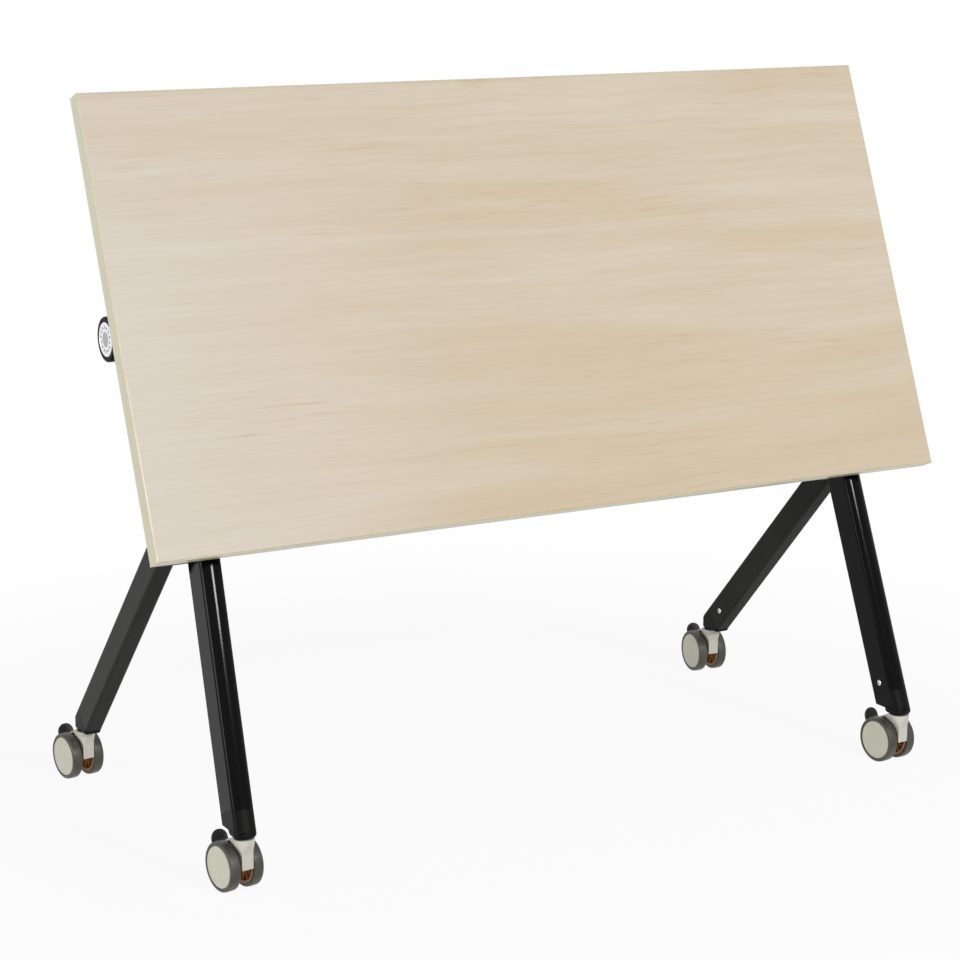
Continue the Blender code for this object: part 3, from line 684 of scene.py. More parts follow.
# %% [markdown]
# The crossbeam is a painted steel tube from one leg frame to the other, and the top turns on it. Its end
# caps are moulded, with a rounded rim, a plug inside the tube and a shallow recess for the round plate.
# All three are turned shapes, so each is one profile spun about the beam.

# %% Crossbeam, end caps and plates
BEAM_RADIUS, BEAM_WALL = 0.021, 0.002
BEAM_BORE = BEAM_RADIUS - BEAM_WALL
BEAM_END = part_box("crossbeam_tube")[1].x
CAP_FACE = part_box("end_cap_right")[1].x
CAP_RADIUS, PLATE_RADIUS = 0.029, 0.022
SHOULDER = CAP_FACE - 0.012
PLUG_END, PLUG_RADIUS = SHOULDER - 0.022, BEAM_BORE - FIT
RECESS, RECESS_RADIUS = CAP_FACE - 0.0016, PLATE_RADIUS + 0.0004
PLATE_FACE = CAP_FACE + 0.0002
CAP_ROUND = 0.0022
ON_PIVOT = Matrix.Translation(PIVOT)

tube = pipe(-BEAM_END, BEAM_END, BEAM_BORE, BEAM_RADIUS, 64, 0.0004)
piece("crossbeam", placed(tube, ON_PIVOT), casting_coat, "frame", ["crossbeam_tube"])

cap_line = [(PLUG_END, 0.0), (PLUG_END, PLUG_RADIUS), (SHOULDER, PLUG_RADIUS), (SHOULDER, CAP_RADIUS),
            (CAP_FACE, CAP_RADIUS), (CAP_FACE, RECESS_RADIUS), (RECESS, RECESS_RADIUS), (RECESS, 0.0)]
plate_line = [(RECESS + FIT, 0.0), (RECESS + FIT, PLATE_RADIUS), (PLATE_FACE - 0.0004, PLATE_RADIUS),
              (PLATE_FACE, PLATE_RADIUS - 0.0006), (PLATE_FACE, PLATE_RADIUS - 0.0022),
              (PLATE_FACE - 0.0003, PLATE_RADIUS - 0.0026), (PLATE_FACE - 0.0003, 0.0)]
for name, side in SIDES.items():
    cap = turned(cap_line, 96, side)
    rim = [edge for edge in creases(cap) if all(
        (v.co.yz.length > CAP_RADIUS - 1e-5 and abs(v.co.x) > CAP_FACE - 1e-5) for v in edge.verts)]
    round_edges(cap, rim, CAP_ROUND, 5)
    rim = [edge for edge in creases(cap) if all(abs(v.co.x) > SHOULDER - 1e-5 for v in edge.verts)]
    round_edges(cap, rim, 0.0003)
    piece(f"cap_{name}", placed(cap, ON_PIVOT), cap_plastic, "frame", [f"end_cap_{name}"])
    plate = placed(turned(plate_line, 96, side), ON_PIVOT)
    piece(f"plate_{name}", plate, turned_silver, "frame", [f"end_plate_{name}"])
print("crossbeam", round(2 * BEAM_END, 4), "m long, with caps and plates")

# %% [markdown]
# The castings and the lever are hidden by the top in the photograph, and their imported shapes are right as
# they are, only sharp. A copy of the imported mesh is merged, its flat faces are joined up again, and every
# hard edge gets the small round that a cast or stamped part has.

# %% Softened copies of castings, brackets and levers
def softened(node, width):
    bm = bmesh.new()
    bm.from_mesh(frame["nodes"][node].data)
    bmesh.ops.remove_doubles(bm, verts=bm.verts, dist=1e-5)
    bmesh.ops.dissolve_limit(bm, angle_limit=math.radians(1.0), verts=bm.verts[:], edges=bm.edges[:])
    return soften(bm, width, 2, 40.0)


for name in SIDES:
    for label, node, width, paint, body, slot in (
            ("head", "leg_head", 0.0007, casting_coat, "frame", "black_metal"),
            ("bracket", "flip_bracket", 0.0006, casting_coat, "top", "black_metal"),
            ("lever", "lock_lever", 0.0006, lever_paint, f"lever_{name}", "lever")):
        piece(f"{label}_{name}", softened(f"{node}_{name}", width), paint, body, [f"{node}_{name}"])
print("heads, brackets and levers softened")

# %% [markdown]
# Between each bracket and the beam sits a plain white bush. It is a thin ring, turned with many steps so
# that it looks round where its edge shows.

# %% Bushes
BUSH_OUTER, BUSH_INNER = 0.0233, BEAM_RADIUS + FIT

for name in SIDES:
    low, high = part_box(f"bracket_bush_{name}")
    bush = placed(pipe(low.x, high.x, BUSH_INNER, BUSH_OUTER, 72, 0.0003), ON_PIVOT)
    piece(f"bush_{name}", bush, bush_acetal, "top", [f"bracket_bush_{name}"])
print("two bushes")

# %% [markdown]
# The legs are two aluminium extrusions of one kind, a deeper one in front and a slimmer one behind: a flat
# back, flat sides and one rounded face that runs into the sides without an edge. One vertex spun through half
# a turn and flattened gives the rounded face, three more edges close the outline, and extruding it makes a
# bar. It is laid along the leg and trimmed, so legs, feet and joints share their sections.

# %% Leg sections and leg axes
FRONT_SECTION = {"width": 0.0295, "depth": 0.046, "crown": 0.0080, "corner": 0.0024}
REAR_SECTION = {"width": 0.0250, "depth": 0.0422, "crown": 0.0065, "corner": 0.0042}
LEG_WALL = 0.0019
BAR_LOW, BAR_HIGH = -0.85, 0.85


def half_round(bm, start, centre, steps):
    """Swing a point half a turn about Z; gives both ends of the line."""
    first = bm.verts.new(start)
    swung = bmesh.ops.spin(bm, geom=[first], cent=centre, axis=(0, 0, 1), angle=math.pi, steps=steps)
    return first, only_verts(swung["geom_last"])[0]


def closed(bm, first, last, corners):
    """Close an open line over two corners and fill it with a face."""
    for pair in ((last, corners[0]), corners, (corners[1], first)):
        bm.edges.new(pair)
    return bmesh.ops.contextual_create(bm, geom=bm.edges[:])["faces"]


def leg_bar(section):
    """Bar along Z with its rounded face towards -Y."""
    half, back, crown = section["width"] / 2, section["depth"] / 2, section["crown"]
    bm = bmesh.new()
    first, last = half_round(bm, (-half, 0, BAR_LOW), (0, 0, BAR_LOW), 36)
    bmesh.ops.scale(bm, vec=(1, crown / half, 1), verts=bm.verts)
    bmesh.ops.translate(bm, vec=(0, crown - back, 0), verts=bm.verts)
    corners = [bm.verts.new((x, back, BAR_LOW)) for x in (half, -half)]
    grown(bm, closed(bm, first, last, corners), (0, 0, BAR_HIGH - BAR_LOW))
    corner = [edge for edge in creases(bm, 60.0) if edge.calc_length() > 1.0]
    round_edges(bm, corner, section["corner"], 8)
    return bm


def stepped(bm, facing, wall, shift):
    """Step the end that faces a direction: inwards it is a tube's mouth, outwards a spigot."""
    face_out(bm)
    end = max(bm.faces, key=lambda face: face.normal.dot(facing) + face.calc_area())
    bmesh.ops.inset_region(bm, faces=[end], thickness=wall, use_even_offset=True)
    inner = bmesh.ops.extrude_discrete_faces(bm, faces=[end])["faces"][0]
    bmesh.ops.translate(bm, vec=shift, verts=inner.verts)


def leg_axes(point, lean, splay=0.0, turn=0.0):
    along = Vector((-math.tan(splay), math.tan(lean), 1.0)).normalized()
    across = (Vector((1, 0, 0)) - along.x * along).normalized()
    axes = Matrix((across, along.cross(across), along)).transposed().to_4x4()
    return Matrix.Translation(point) @ axes @ Matrix.Rotation(turn, 4, "Z")


print("leg sections", FRONT_SECTION["depth"], "and", REAR_SECTION["depth"], "m deep")

# %% [markdown]
# A front leg leans back and splays slightly outwards from the crossbeam. The rear leg starts behind it,
# just outside, and leans the other way, down to its castor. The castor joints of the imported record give
# the stems, and the lean angles come from the photograph.

# %% Where the legs stand
FRONT_LEAN, REAR_LEAN = math.radians(20.5), math.radians(-43.1)
SPLAY = math.radians(2.05)
FRONT_BASE_X = 0.5153
REAR_SETBACK = 0.0020
CASTOR_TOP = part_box("castor_housing_front_left")[1].z + FIT
HEAD_REACH = 0.036
FOOT_LENGTH = 0.032
DOWN, BACK = Vector((0, 0, -1)), Vector((0, 1, 0))
stems = {name: Vector(joints[f"swivel_{name}"]["pos_m"]) for name in
         ("front_left", "rear_left", "front_right", "rear_right")}


def front_axes(side):
    top_x = FRONT_BASE_X - math.tan(SPLAY) * (PIVOT.z - CASTOR_TOP)
    return leg_axes(Vector((side * top_x, PIVOT.y, PIVOT.z)), FRONT_LEAN, side * SPLAY)


def rear_axes(name):
    base = stems[f"rear_{name}"]
    return leg_axes(Vector((base.x, base.y + REAR_SETBACK, CASTOR_TOP)), REAR_LEAN, 0.0, math.pi)


def along_of(axes):
    return axes.col[2].to_3d()


def front_reach(side):
    """Distance down the front leg's axis from the crossbeam to the castor's top."""
    return (PIVOT.z - CASTOR_TOP) / along_of(front_axes(side)).z


print("castor top", round(CASTOR_TOP, 4), "front leg", round(front_reach(1), 4), "m from the crossbeam")

# %% [markdown]
# Each leg is the bar trimmed square at the head and at the foot's seam, where its end is opened into a tube
# for the foot's spigot. The rear leg's upper end is cut parallel to the back of the front leg, where the
# joint casting fills the gap between the two. The cut ends keep a fine broken edge, which shows as a thin
# light line at the seam.

# %% Legs
JOINT_LENGTH = 0.030
SEAM_GAP = SEAM_ROUND = 0.00015
SPIGOT = 0.030
MOUTH = SPIGOT + 0.004
SPIGOT_WALL = LEG_WALL + FIT
FRONT_BACK = FRONT_SECTION["depth"] / 2


def round_rim(bm, point, normal):
    """Break the edges of the outer rim that lie in a cutting plane."""
    rim = [edge for edge in creases(bm, 50.0) if all(
        abs((v.co - point).dot(normal)) < 1e-5 for v in edge.verts)]
    round_edges(bm, rim, SEAM_ROUND)


def leg_tube(section, axes, head, facing, seam):
    """Bar cut at its head and at the foot's seam, and opened there."""
    along = along_of(axes)
    bm = placed(leg_bar(section), axes)
    trim(bm, head, facing)
    trim(bm, seam, -along)
    round_rim(bm, seam, along)
    stepped(bm, -along, LEG_WALL, MOUTH * along)
    return bm


for name, side in SIDES.items():
    axes, rear = front_axes(side), rear_axes(name)
    seam = axes @ Vector((0, 0, FOOT_LENGTH - front_reach(side)))
    bm = leg_tube(FRONT_SECTION, axes, axes @ Vector((0, 0, -HEAD_REACH)), along_of(axes), seam)
    piece(f"front_leg_{name}_bar", bm, leg_paint, "frame", [f"front_leg_{name}"])

    behind = axes.col[1].to_3d()
    head = axes @ Vector((0, FRONT_BACK + JOINT_LENGTH, 0))
    bm = leg_tube(REAR_SECTION, rear, head, -behind, rear @ Vector((0, 0, FOOT_LENGTH)))
    stepped(bm, -behind, LEG_WALL, -MOUTH * along_of(rear))
    piece(f"rear_leg_{name}_bar", bm, rear_paint, "frame", [f"rear_leg_{name}"])
print("four legs")

# %% [markdown]
# The joint casting closes the rear leg's end and wraps behind the front leg, where it is screwed on. It is
# a block along the rear leg, trimmed by the two parallel planes, with the generous rounds of a die casting.
# A spigot of the leg's inner section, a shell of its own, reaches from the block into the rear leg.

# %% Joint castings
JOINT_LIP, JOINT_SEAT, SIDE_GAP = 0.005, 0.022, 0.005
REAR_HALF, REAR_BACK = REAR_SECTION["width"] / 2, REAR_SECTION["depth"] / 2
JOINT_ROUND = 0.0035


def spigot_bar():
    """Bar that slides into a rear leg."""
    bm = leg_bar(REAR_SECTION)
    fit = (1 - 2 * SPIGOT_WALL / REAR_SECTION["width"], 1 - 2 * SPIGOT_WALL / REAR_SECTION["depth"], 1.0)
    bmesh.ops.scale(bm, vec=fit, verts=bm.verts)
    return bm


for name, side in SIDES.items():
    axes = front_axes(side)
    behind = axes.col[1].to_3d()
    rear = rear_axes(name)
    middle = axes @ Vector((0, FRONT_BACK + JOINT_LENGTH / 2, 0))
    inner, outer = sorted((-side * (REAR_HALF + SIDE_GAP + JOINT_SEAT), side * REAR_HALF))
    block = slab((inner, -REAR_BACK - JOINT_LIP, 0.2), (outer, REAR_BACK, 0.9))
    placed(block, rear @ Matrix.Rotation(math.pi, 4, "Z"))
    trim(block, axes @ Vector((0, FRONT_BACK + SEAM_GAP, 0)), -behind)
    trim(block, axes @ Vector((0, FRONT_BACK + JOINT_LENGTH - SEAM_GAP, 0)), behind)
    soften(block, JOINT_ROUND, 5)
    spigot = placed(spigot_bar(), rear)
    trim(spigot, middle, -behind)
    reach = (middle - rear.translation).dot(behind) / along_of(rear).dot(behind)
    trim(spigot, rear @ Vector((0, 0, reach - 2 * SPIGOT)), -along_of(rear))
    piece(f"joint_{name}", joined(block, spigot), casting_coat, "frame", [f"leg_joint_{name}"])
print("two joint castings")

# %% [markdown]
# A front foot is a plastic plug with the leg's own section and a spigot inside the leg. Behind, its underside
# is cut level. In front the same section runs on down to the castor as a neck, cut straight at its back and
# well rounded at its lower edge, which is a row of insets along a quarter circle. Bar and neck are two closed
# shells in one mesh, each with its own rounds.

# %% Front feet
NECK_RADIUS, NECK_DROP, NECK_ROUND = 0.0145, 0.0075, 0.0058
HEEL_ROUND, SOLE_ROUND = 0.0010, 0.0012


def edges_near(bm, height, reach=0.0006):
    return [edge for edge in creases(bm, 30.0) if all(abs(v.co.z - height) < reach for v in edge.verts)]


def dome_down(bm, radius, steps=7):
    """Round off the lowest face by insets that follow a quarter circle."""
    face_out(bm)
    end = min(bm.faces, key=lambda face: face.calc_center_median().z)
    for step in range(steps):
        before, after = (math.radians(90.0 * (step + more) / steps) for more in (0, 1))
        bmesh.ops.inset_region(bm, faces=[end], use_even_offset=True,
                               thickness=radius * (math.cos(before) - math.cos(after)),
                               depth=radius * (math.sin(after) - math.sin(before)))


def round_heel(bm, behind, below):
    heel = [edge for edge in creases(bm, 50.0) if all(
        v.co.y > behind and v.co.z < below for v in edge.verts)]
    round_edges(bm, heel, HEEL_ROUND, 3)


for name, side in SIDES.items():
    axes = front_axes(side)
    along = along_of(axes)
    under = CASTOR_TOP + NECK_DROP
    top = axes @ Vector((0, 0, FOOT_LENGTH - front_reach(side) - SEAM_GAP))
    foot = placed(leg_bar(FRONT_SECTION), axes)
    trim(foot, top, along)
    trim(foot, Vector((0, 0, under)), DOWN)
    round_edges(foot, edges_near(foot, under), SOLE_ROUND, 4)
    round_rim(foot, top, along)
    stepped(foot, along, SPIGOT_WALL, SPIGOT * along)
    neck = placed(leg_bar(FRONT_SECTION), axes)
    heel = stems[f"front_{name}"].y + NECK_RADIUS
    trim(neck, Vector((0, 0, under + 0.004)), -DOWN)
    trim(neck, Vector((0, 0, CASTOR_TOP + NECK_ROUND)), DOWN)
    trim(neck, Vector((0, heel, 0)), BACK)
    dome_down(neck, NECK_ROUND)
    round_heel(neck, heel - NECK_ROUND, under + 0.003)
    piece(f"foot_front_{name}", joined(foot, neck), foot_plastic, "frame",
          [f"front_foot_{name}"])
print("two front feet")

# %% [markdown]
# A rear foot has its own leg's section, but the leg lies flatter there, so the foot is cut level under the
# leg, straight down at its heel, and rounded off below. The castor's stem sits close to the heel, so a short
# round boss under the foot gives it room. The boss is a disc with a bevelled lower rim.

# %% Rear feet
REAR_ROUND, REAR_DROP, REAR_HEEL = 0.0040, 0.0022, 0.0050
BOSS_RADIUS, BOSS_HEIGHT = 0.0112, 0.0046

for name in SIDES:
    rear = rear_axes(name)
    along = along_of(rear)
    base = stems[f"rear_{name}"]
    heel = base.y + REAR_HEEL
    top = rear @ Vector((0, 0, FOOT_LENGTH - SEAM_GAP))
    foot = placed(leg_bar(REAR_SECTION), rear)
    trim(foot, top, along)
    trim(foot, Vector((0, 0, CASTOR_TOP + REAR_DROP + REAR_ROUND)), DOWN)
    trim(foot, Vector((0, heel, 0)), BACK)
    dome_down(foot, REAR_ROUND)
    round_heel(foot, heel - REAR_ROUND, CASTOR_TOP + 0.03)
    round_rim(foot, top, along)
    stepped(foot, along, SPIGOT_WALL, SPIGOT * along)
    boss = disc(BOSS_RADIUS, BOSS_HEIGHT, 64, (base.x, base.y, CASTOR_TOP + BOSS_HEIGHT / 2))
    soften(boss, 0.0010, 3)
    piece(f"foot_rear_{name}", joined(foot, boss), foot_plastic, "frame",
          [f"rear_foot_{name}"])
print("two rear feet")

# %% [markdown]
# One small bright screw holds each foot, in the face of the leg that looks to the middle of the table. A
# pan head with a round socket is one profile, spun about its own axis and then laid onto the face.

# %% Screws of the feet
HEAD_RADIUS, SOCKET_RADIUS = 0.0042, 0.0018
FOOT_SCREW_UP = {"front": 0.0461, "rear": 0.0589}
FOOT_SCREW_BACK = {"front": 0.0026, "rear": 0.0034}


def pan_head(height):
    """Screw head along +X, standing on x = 0."""
    radius, socket = HEAD_RADIUS, SOCKET_RADIUS
    outline = [(-0.001, 0.0), (-0.001, radius * 0.8), (0.0, radius * 0.8), (0.0, radius),
               (height * 0.45, radius * 0.97), (height * 0.8, radius * 0.8), (height, radius * 0.55),
               (height, socket), (height * 0.2, socket * 0.9), (height * 0.2, 0.0)]
    return turned(outline, 32)


for name, side in SIDES.items():
    for end, axes, base, inwards, section in (
            ("front", front_axes(side), -front_reach(side), -side, FRONT_SECTION),
            ("rear", rear_axes(name), 0.0, side, REAR_SECTION)):
        turn = Matrix.Rotation(0.0 if inwards > 0 else math.pi, 4, "Z")
        up = FOOT_SCREW_UP[end] + base
        spot = Matrix.Translation((inwards * section["width"] / 2, FOOT_SCREW_BACK[end], up))
        screw = placed(pan_head(0.0018), axes @ spot @ turn)
        piece(f"foot_screw_{end}_{name}", screw, screw_zinc, "frame")
print("four foot screws")

# %% [markdown]
# Three pan-head screws hold each bracket's flange to the board, and the lever's ear takes the place of a
# fourth. They are seen only from behind and below, but someone who turns the part round would miss them.

# %% Screws of the brackets
FLANGE_LOW = TOP_UNDER - FIT - 0.004
SCREW_ALONG, SCREW_IN, LEVER_SIDE = 0.054, 0.010, 0.545
ON_FLANGE = Matrix.Rotation(math.pi / 2, 4, "Y")

for name in SIDES:
    low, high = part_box(f"bracket_bush_{name}")
    screws = []
    for x in (low.x + SCREW_IN, high.x - SCREW_IN):
        for y in (-SCREW_ALONG, SCREW_ALONG):
            if y < 0 and abs(x) < LEVER_SIDE:
                continue
            spot = Matrix.Translation((x, y, FLANGE_LOW)) @ ON_FLANGE
            screws.append(placed(pan_head(0.0022), spot))
    piece(f"bracket_screws_{name}", placed(joined(*screws), FLIP), screw_zinc, "top")
print("bracket screws")

# %% [markdown]
# A castor is modelled once in its own axes, with the stem on Z, the floor at zero and the wheels trailing
# to +Y, and each corner then gets its own copy, turned as that castor stands. The turn is read from the
# axle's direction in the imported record.

# %% Castor axes and sizes
WHEEL_RADIUS, WHEEL_WIDTH, WHEEL_X = 0.0325, 0.0145, 0.01675
TYRE_THICK, TRAIL = 0.0048, 0.0235
CORE_RADIUS = WHEEL_RADIUS - TYRE_THICK
WEB_TOP = CASTOR_TOP - 0.0075


def castor_axes(corner):
    axle = Vector(joints[f"spin_left_{corner}"]["axis"])
    if axle.x < 0:
        axle = -axle
    turn = math.atan2(axle.y, axle.x)
    return Matrix.Translation((stems[corner].x, stems[corner].y, 0.0)) @ Matrix.Rotation(turn, 4, "Z")


for corner in stems:
    axle = castor_axes(corner).col[0]
    print(corner, "turned", round(math.degrees(math.atan2(axle.y, axle.x)), 1), "degrees")

# %% [markdown]
# The tyre is a rubber ring with a flat flank beside the cover disc, a crisp narrow chamfer that catches the
# light, and a slightly crowned tread. The ring is a closed profile spun about the axle.

# %% Tyre
FLANK_TOP, CHAMFER = WHEEL_RADIUS - 0.0016, 0.0013


def tyre_ring():
    half = WHEEL_WIDTH / 2
    tread = half - CHAMFER
    crown = WHEEL_RADIUS - 0.0003
    outline = [(-half, CORE_RADIUS), (-half, FLANK_TOP), (-tread, crown), (-tread * 0.5, WHEEL_RADIUS),
               (tread * 0.5, WHEEL_RADIUS), (tread, crown), (half, FLANK_TOP), (half, CORE_RADIUS),
               (-half, CORE_RADIUS)]
    return soften(turned(outline, 96), 0.0002, 2, 30.0)


print("tyre", 2 * WHEEL_RADIUS, "m across")

# %% [markdown]
# Each wheel shows a slightly domed ivory cover disc outside. Inside it is a brown moulded core: a rim, a
# hub and ribs between them, which show in the gap under the housing. The disc and the core are separate
# pieces on the real wheel, so they are here too, and the ribs are one slab turned round the hub in copies.
# The rim's inner edge is a ring of its own in a pale colour, a painted highlight that draws a thin light
# curve in the gap.

# %% Wheel cover and core
HUB_RADIUS, RIM_WALL, RIB_COUNT, AXLE_BORE = 0.0085, 0.003, 12, 0.0042
CORE_RIM = CORE_RADIUS - 0.0004


def cover_disc(sign):
    face = WHEEL_WIDTH / 2
    outline = [(face + 0.0004, 0.0), (face + 0.0003, 0.010), (face + 0.0001, 0.0185), (face - 0.0004, 0.0225),
               (face - 0.0004, 0.0235), (face, 0.0243), (face, CORE_RADIUS - 0.0012),
               (face - 0.0008, CORE_RIM), (face - 0.0024, CORE_RIM), (face - 0.0024, 0.0)]
    return turned(outline, 80, sign)


def core(sign):
    outer, inner = WHEEL_WIDTH / 2 - 0.0026, -WHEEL_WIDTH / 2
    floor_x, hollow = outer - 0.002, CORE_RIM - RIM_WALL
    outline = [(outer, AXLE_BORE), (outer, CORE_RIM), (inner, CORE_RIM), (inner, hollow), (floor_x, hollow),
               (floor_x, HUB_RADIUS), (inner, HUB_RADIUS), (inner, AXLE_BORE), (outer, AXLE_BORE)]
    bm = soften(turned(outline, 72, sign), 0.0003, 2, 40.0)
    x0, x1 = sorted((sign * (inner + 0.002), sign * (outer - 0.0015)))
    ribs = []
    for step in range(RIB_COUNT):
        rib = slab((x0, -0.0007, HUB_RADIUS - 0.001), (x1, 0.0007, hollow + 0.001))
        ribs.append(placed(rib, Matrix.Rotation(2 * math.pi * step / RIB_COUNT, 4, "X")))
    return joined(bm, *ribs)


# This ring carries the painted highlight on the inner edge of the core's rim.
def rim_highlight_ring(sign):
    inner, rim = -WHEEL_WIDTH / 2, CORE_RIM
    low = rim - 0.0012
    outline = [(inner, low), (inner - 0.0003, rim - 0.0009), (inner - 0.0003, rim - 0.0003), (inner, rim),
               (inner + 0.0004, rim), (inner + 0.0004, low), (inner, low)]
    return turned(outline, 72, sign)


print("cover disc and core with", RIB_COUNT, "ribs")

# %% [markdown]
# The housing is one ivory moulding. A hood runs up in front of the wheels and back between them to the pedal,
# a web stands under it and carries the axle, and at the top it flares into a round collar under the foot. The
# hood is a line of edges extruded across and given a wall. The web is an outline in the YZ plane, extruded
# across. The flare is the hull of the collar's circle and of two rectangles on the hood, one further down and
# one further back, which is the shape that a mould draws between them.

# %% Housing
HOOD_HALF, HOOD_FRONT, HOOD_WALL = 0.0081, -0.0092, 0.0022
COLLAR_HEIGHT = 0.0045
COLLAR_RADIUS = 0.0138
FLARE_BACK, FLARE_LOW, FLARE_REAR = HOOD_FRONT + 0.004, CASTOR_TOP - 0.0165, 0.0215
KNUCKLE, AXLE_BOSS = 0.004, 0.009
PEDAL_FALL = 0.010
HINGE_Y, HINGE_Z = 0.0375, WEB_TOP - PEDAL_FALL - 0.0017 - FIT - KNUCKLE


def arc_points(radius, centre, start, end, steps):
    """A vertex spun about a point in the YZ plane, read back as (y, z) points."""
    bm = bmesh.new()
    first = math.radians(start)
    bm.verts.new((0.0, centre[0] + radius * math.cos(first), centre[1] + radius * math.sin(first)))
    bmesh.ops.spin(bm, geom=bm.verts[:], cent=(0, *centre), axis=(1, 0, 0),
                   angle=math.radians(end - start), steps=steps)
    points = [tuple(v.co.yz) for v in bm.verts]
    bm.free()
    return points


def extruded(outline, half):
    """A closed (y, z) outline made into a plate across X."""
    bm = bmesh.new()
    side = bm.faces.new([bm.verts.new((-half, y, z)) for y, z in outline])
    return grown(bm, [side], (2 * half, 0, 0))


def web():
    inside = HOOD_FRONT + HOOD_WALL / 2
    outline = [(inside, CASTOR_TOP - 0.039), (inside, WEB_TOP - 0.006), (NECK_RADIUS, WEB_TOP - 0.001),
               (HINGE_Y, WEB_TOP - PEDAL_FALL - FIT)]
    outline += arc_points(KNUCKLE + FIT, (HINGE_Y, HINGE_Z), 90.0, 290.0, 12)
    outline += arc_points(AXLE_BOSS, (TRAIL, WHEEL_RADIUS), 20.0, -120.0, 12)
    return soften(extruded(outline, HOOD_HALF - 0.003), 0.0005, 2, 45.0)


def hood():
    line = [(HOOD_FRONT, CASTOR_TOP - 0.040), (HOOD_FRONT, WEB_TOP - 0.004), (HOOD_FRONT + 0.004, WEB_TOP),
            (0.010, WEB_TOP + 0.0020), (0.024, WEB_TOP + 0.0012), (0.032, WEB_TOP - 0.0030),
            (HINGE_Y, WEB_TOP - PEDAL_FALL)]
    bm = bmesh.new()
    points = [bm.verts.new((-HOOD_HALF, y, z)) for y, z in line]
    edges = [bm.edges.new(pair) for pair in zip(points, points[1:])]
    strip = bmesh.ops.extrude_edge_only(bm, edges=edges)
    bmesh.ops.translate(bm, vec=(2 * HOOD_HALF, 0, 0), verts=only_verts(strip["geom"]))
    face_out(bm)
    if max(bm.faces, key=lambda face: face.calc_center_median().z).normal.z < 0:
        bmesh.ops.reverse_faces(bm, faces=bm.faces[:])
    bmesh.ops.solidify(bm, geom=bm.faces[:], thickness=HOOD_WALL)
    face_out(bm)
    return soften(bm, 0.0006, 3, 60.0)


def collar():
    top = CASTOR_TOP - SEAM_GAP
    ring = disc(COLLAR_RADIUS, COLLAR_HEIGHT, 72, (0, 0, top - COLLAR_HEIGHT / 2))
    foot = slab((-HOOD_HALF, HOOD_FRONT, FLARE_LOW - 0.001), (HOOD_HALF, FLARE_BACK, FLARE_LOW))
    upright = [edge for edge in foot.edges if abs(edge.verts[0].co.z - edge.verts[1].co.z) > 1e-5]
    round_edges(foot, upright, 0.0007, 3)
    heel = slab((-HOOD_HALF, FLARE_REAR - 0.004, WEB_TOP), (HOOD_HALF, FLARE_REAR, WEB_TOP + 0.0014))
    bm = joined(ring, foot, heel)
    hull = bmesh.ops.convex_hull(bm, input=bm.verts[:])
    bmesh.ops.delete(bm, geom=only_verts(hull["geom_interior"] + hull["geom_unused"]), context="VERTS")
    bmesh.ops.dissolve_limit(bm, angle_limit=math.radians(0.5), verts=bm.verts[:], edges=bm.edges[:])
    round_edges(bm, edges_near(bm, top), 0.0006, 3)
    return bm


print("housing top", round(WEB_TOP, 4), "pedal hinge", round(HINGE_Z, 4))

# %% [markdown]
# The brake pedal is an arm that runs back from the housing and turns up into a half-round paddle, wider than
# the gap between the wheels and with low ribs so that a shoe doesn't slip. The arm is a slab. The paddle is
# a half circle, spun, closed and extruded to its thickness, and both are turned about the knuckle.

# %% Pedal
PEDAL_THICK, PEDAL_ROUND = 0.0034, 0.0009
ARM_LENGTH, ARM_RISE = 0.0230, math.radians(15.0)
PADDLE_RADIUS, PADDLE_BASE, PADDLE_LOW = 0.0118, 0.0004, -0.0050
PADDLE_RISE = math.radians(72.0)
PADDLE_RIBS, RIB_HALF = (0.0025, 0.0055, 0.0085), 0.0062


def paddle():
    """Plate along Y with a half-round upper end, which crosses the arm at y = 0."""
    bm = bmesh.new()
    under = -PEDAL_THICK / 2
    first, last = half_round(bm, (PADDLE_RADIUS, PADDLE_BASE, under), (0, PADDLE_BASE, under), 28)
    root = [bm.verts.new((x, PADDLE_LOW, under)) for x in (-PADDLE_RADIUS, PADDLE_RADIUS)]
    grown(bm, closed(bm, first, last, root), (0, 0, PEDAL_THICK))
    soften(bm, PEDAL_ROUND, 3, 45.0)
    ribs = []
    for y in PADDLE_RIBS:
        rib = slab((-RIB_HALF, y - 0.0005, -under - 0.0003), (RIB_HALF, y + 0.0005, -under + 0.0004))
        round_edges(rib, rib.edges[:], 0.0002)
        ribs.append(rib)
    return joined(bm, *ribs)


def pedal():
    rise = Matrix.Rotation(ARM_RISE, 4, "X")
    arm = slab((-HOOD_HALF, 0.0, -PEDAL_THICK / 2), (HOOD_HALF, ARM_LENGTH, PEDAL_THICK / 2))
    round_edges(arm, arm.edges[:], PEDAL_ROUND, 3)
    placed(arm, rise)
    reach = rise @ Vector((0.0, ARM_LENGTH - PEDAL_THICK / 2, 0.0))
    plate = placed(paddle(), Matrix.Translation(reach) @ Matrix.Rotation(PADDLE_RISE, 4, "X"))
    knuckle = rod(-HOOD_HALF, HOOD_HALF, KNUCKLE, 40, 0.0004)
    return placed(joined(arm, plate, knuckle), Matrix.Translation((0.0, HINGE_Y, HINGE_Z)))


print("pedal arm", ARM_LENGTH, "m, paddle", 2 * PADDLE_RADIUS, "m wide")

# %% [markdown]
# Stems and axles are plain steel pins with chamfered ends. They barely show, but they are what the castor
# turns on, so they are turned like the rest.

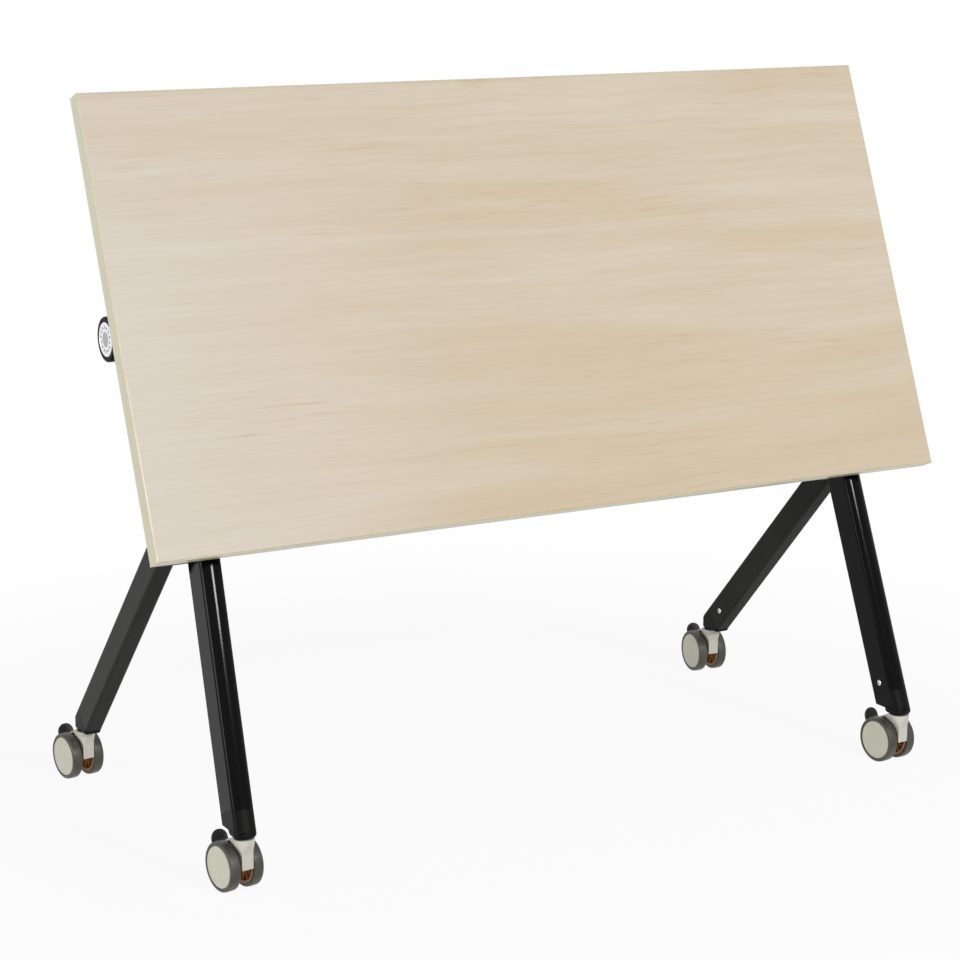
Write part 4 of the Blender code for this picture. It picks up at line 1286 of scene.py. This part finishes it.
# %% Pins
UPRIGHT = Matrix.Rotation(-math.pi / 2, 4, "Y")
AXLE_END, PIN_RADIUS = 0.0195, 0.004
STEM_LOW, STEM_HIGH = CASTOR_TOP - 0.022, CASTOR_TOP + 0.018


def pin(low, high):
    return rod(low, high, PIN_RADIUS, 32, 0.0006)


print("stem", round(STEM_HIGH - STEM_LOW, 4), "m, axle", 2 * AXLE_END, "m")

# %% [markdown]
# Now the four castors are put together. Each loose piece rides on the body that it moves with: the housing
# and axle swivel, the pedal tips on the housing, and each wheel turns by itself.

# %% Four castors
for corner in stems:
    axes = castor_axes(corner)
    hub = axes @ Matrix.Translation((0.0, TRAIL, WHEEL_RADIUS))
    housing = joined(web(), hood(), collar())
    stem = pin(STEM_LOW, STEM_HIGH)
    castor, tipping = f"castor_{corner}", f"pedal_{corner}"
    for label, shape, spot, material, body, node, slot in (
            ("housing_{}", housing, axes, ivory_plastic, castor, "castor_housing", "ivory_plastic"),
            ("axle_{}", pin(-AXLE_END, AXLE_END), hub, bright_steel, castor, "castor_axle", "steel"),
            ("stem_{}", stem, axes @ UPRIGHT, bright_steel, "frame", "castor_stem", "steel"),
            ("pedal_{}_tongue", pedal(), axes, pedal_plastic, tipping, "brake_pedal", "pedal")):
        piece(label.format(corner), placed(shape, spot), material, body, [f"{node}_{corner}"])
    for hand, sign in SIDES.items():
        wheel = f"{hand}_{corner}"
        spot = hub @ Matrix.Translation((sign * WHEEL_X, 0.0, 0.0))
        for label, shape, material, nodes, slot in (
                ("cover", cover_disc(sign), cover_plastic, [f"wheel_{wheel}"], "ivory_plastic"),
                ("core", core(sign), core_plastic, [], None),
                ("rim_highlight_ring", rim_highlight_ring(sign), painted_rim_highlight, [], None),
                ("tread", tyre_ring(), tyre_rubber, [f"tyre_{wheel}"], "tyre")):
            piece(f"{label}_{wheel}", placed(shape, spot), material, f"wheel_{wheel}_body", nodes)
print(len(made_pieces), "pieces in all")

# %% Sizes and finish
low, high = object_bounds()
past = [round(1000 * c, 2) for c in (*(cad_low - low), *(high - cad_high))]
print("grown at the low and high corner by", past, "mm")
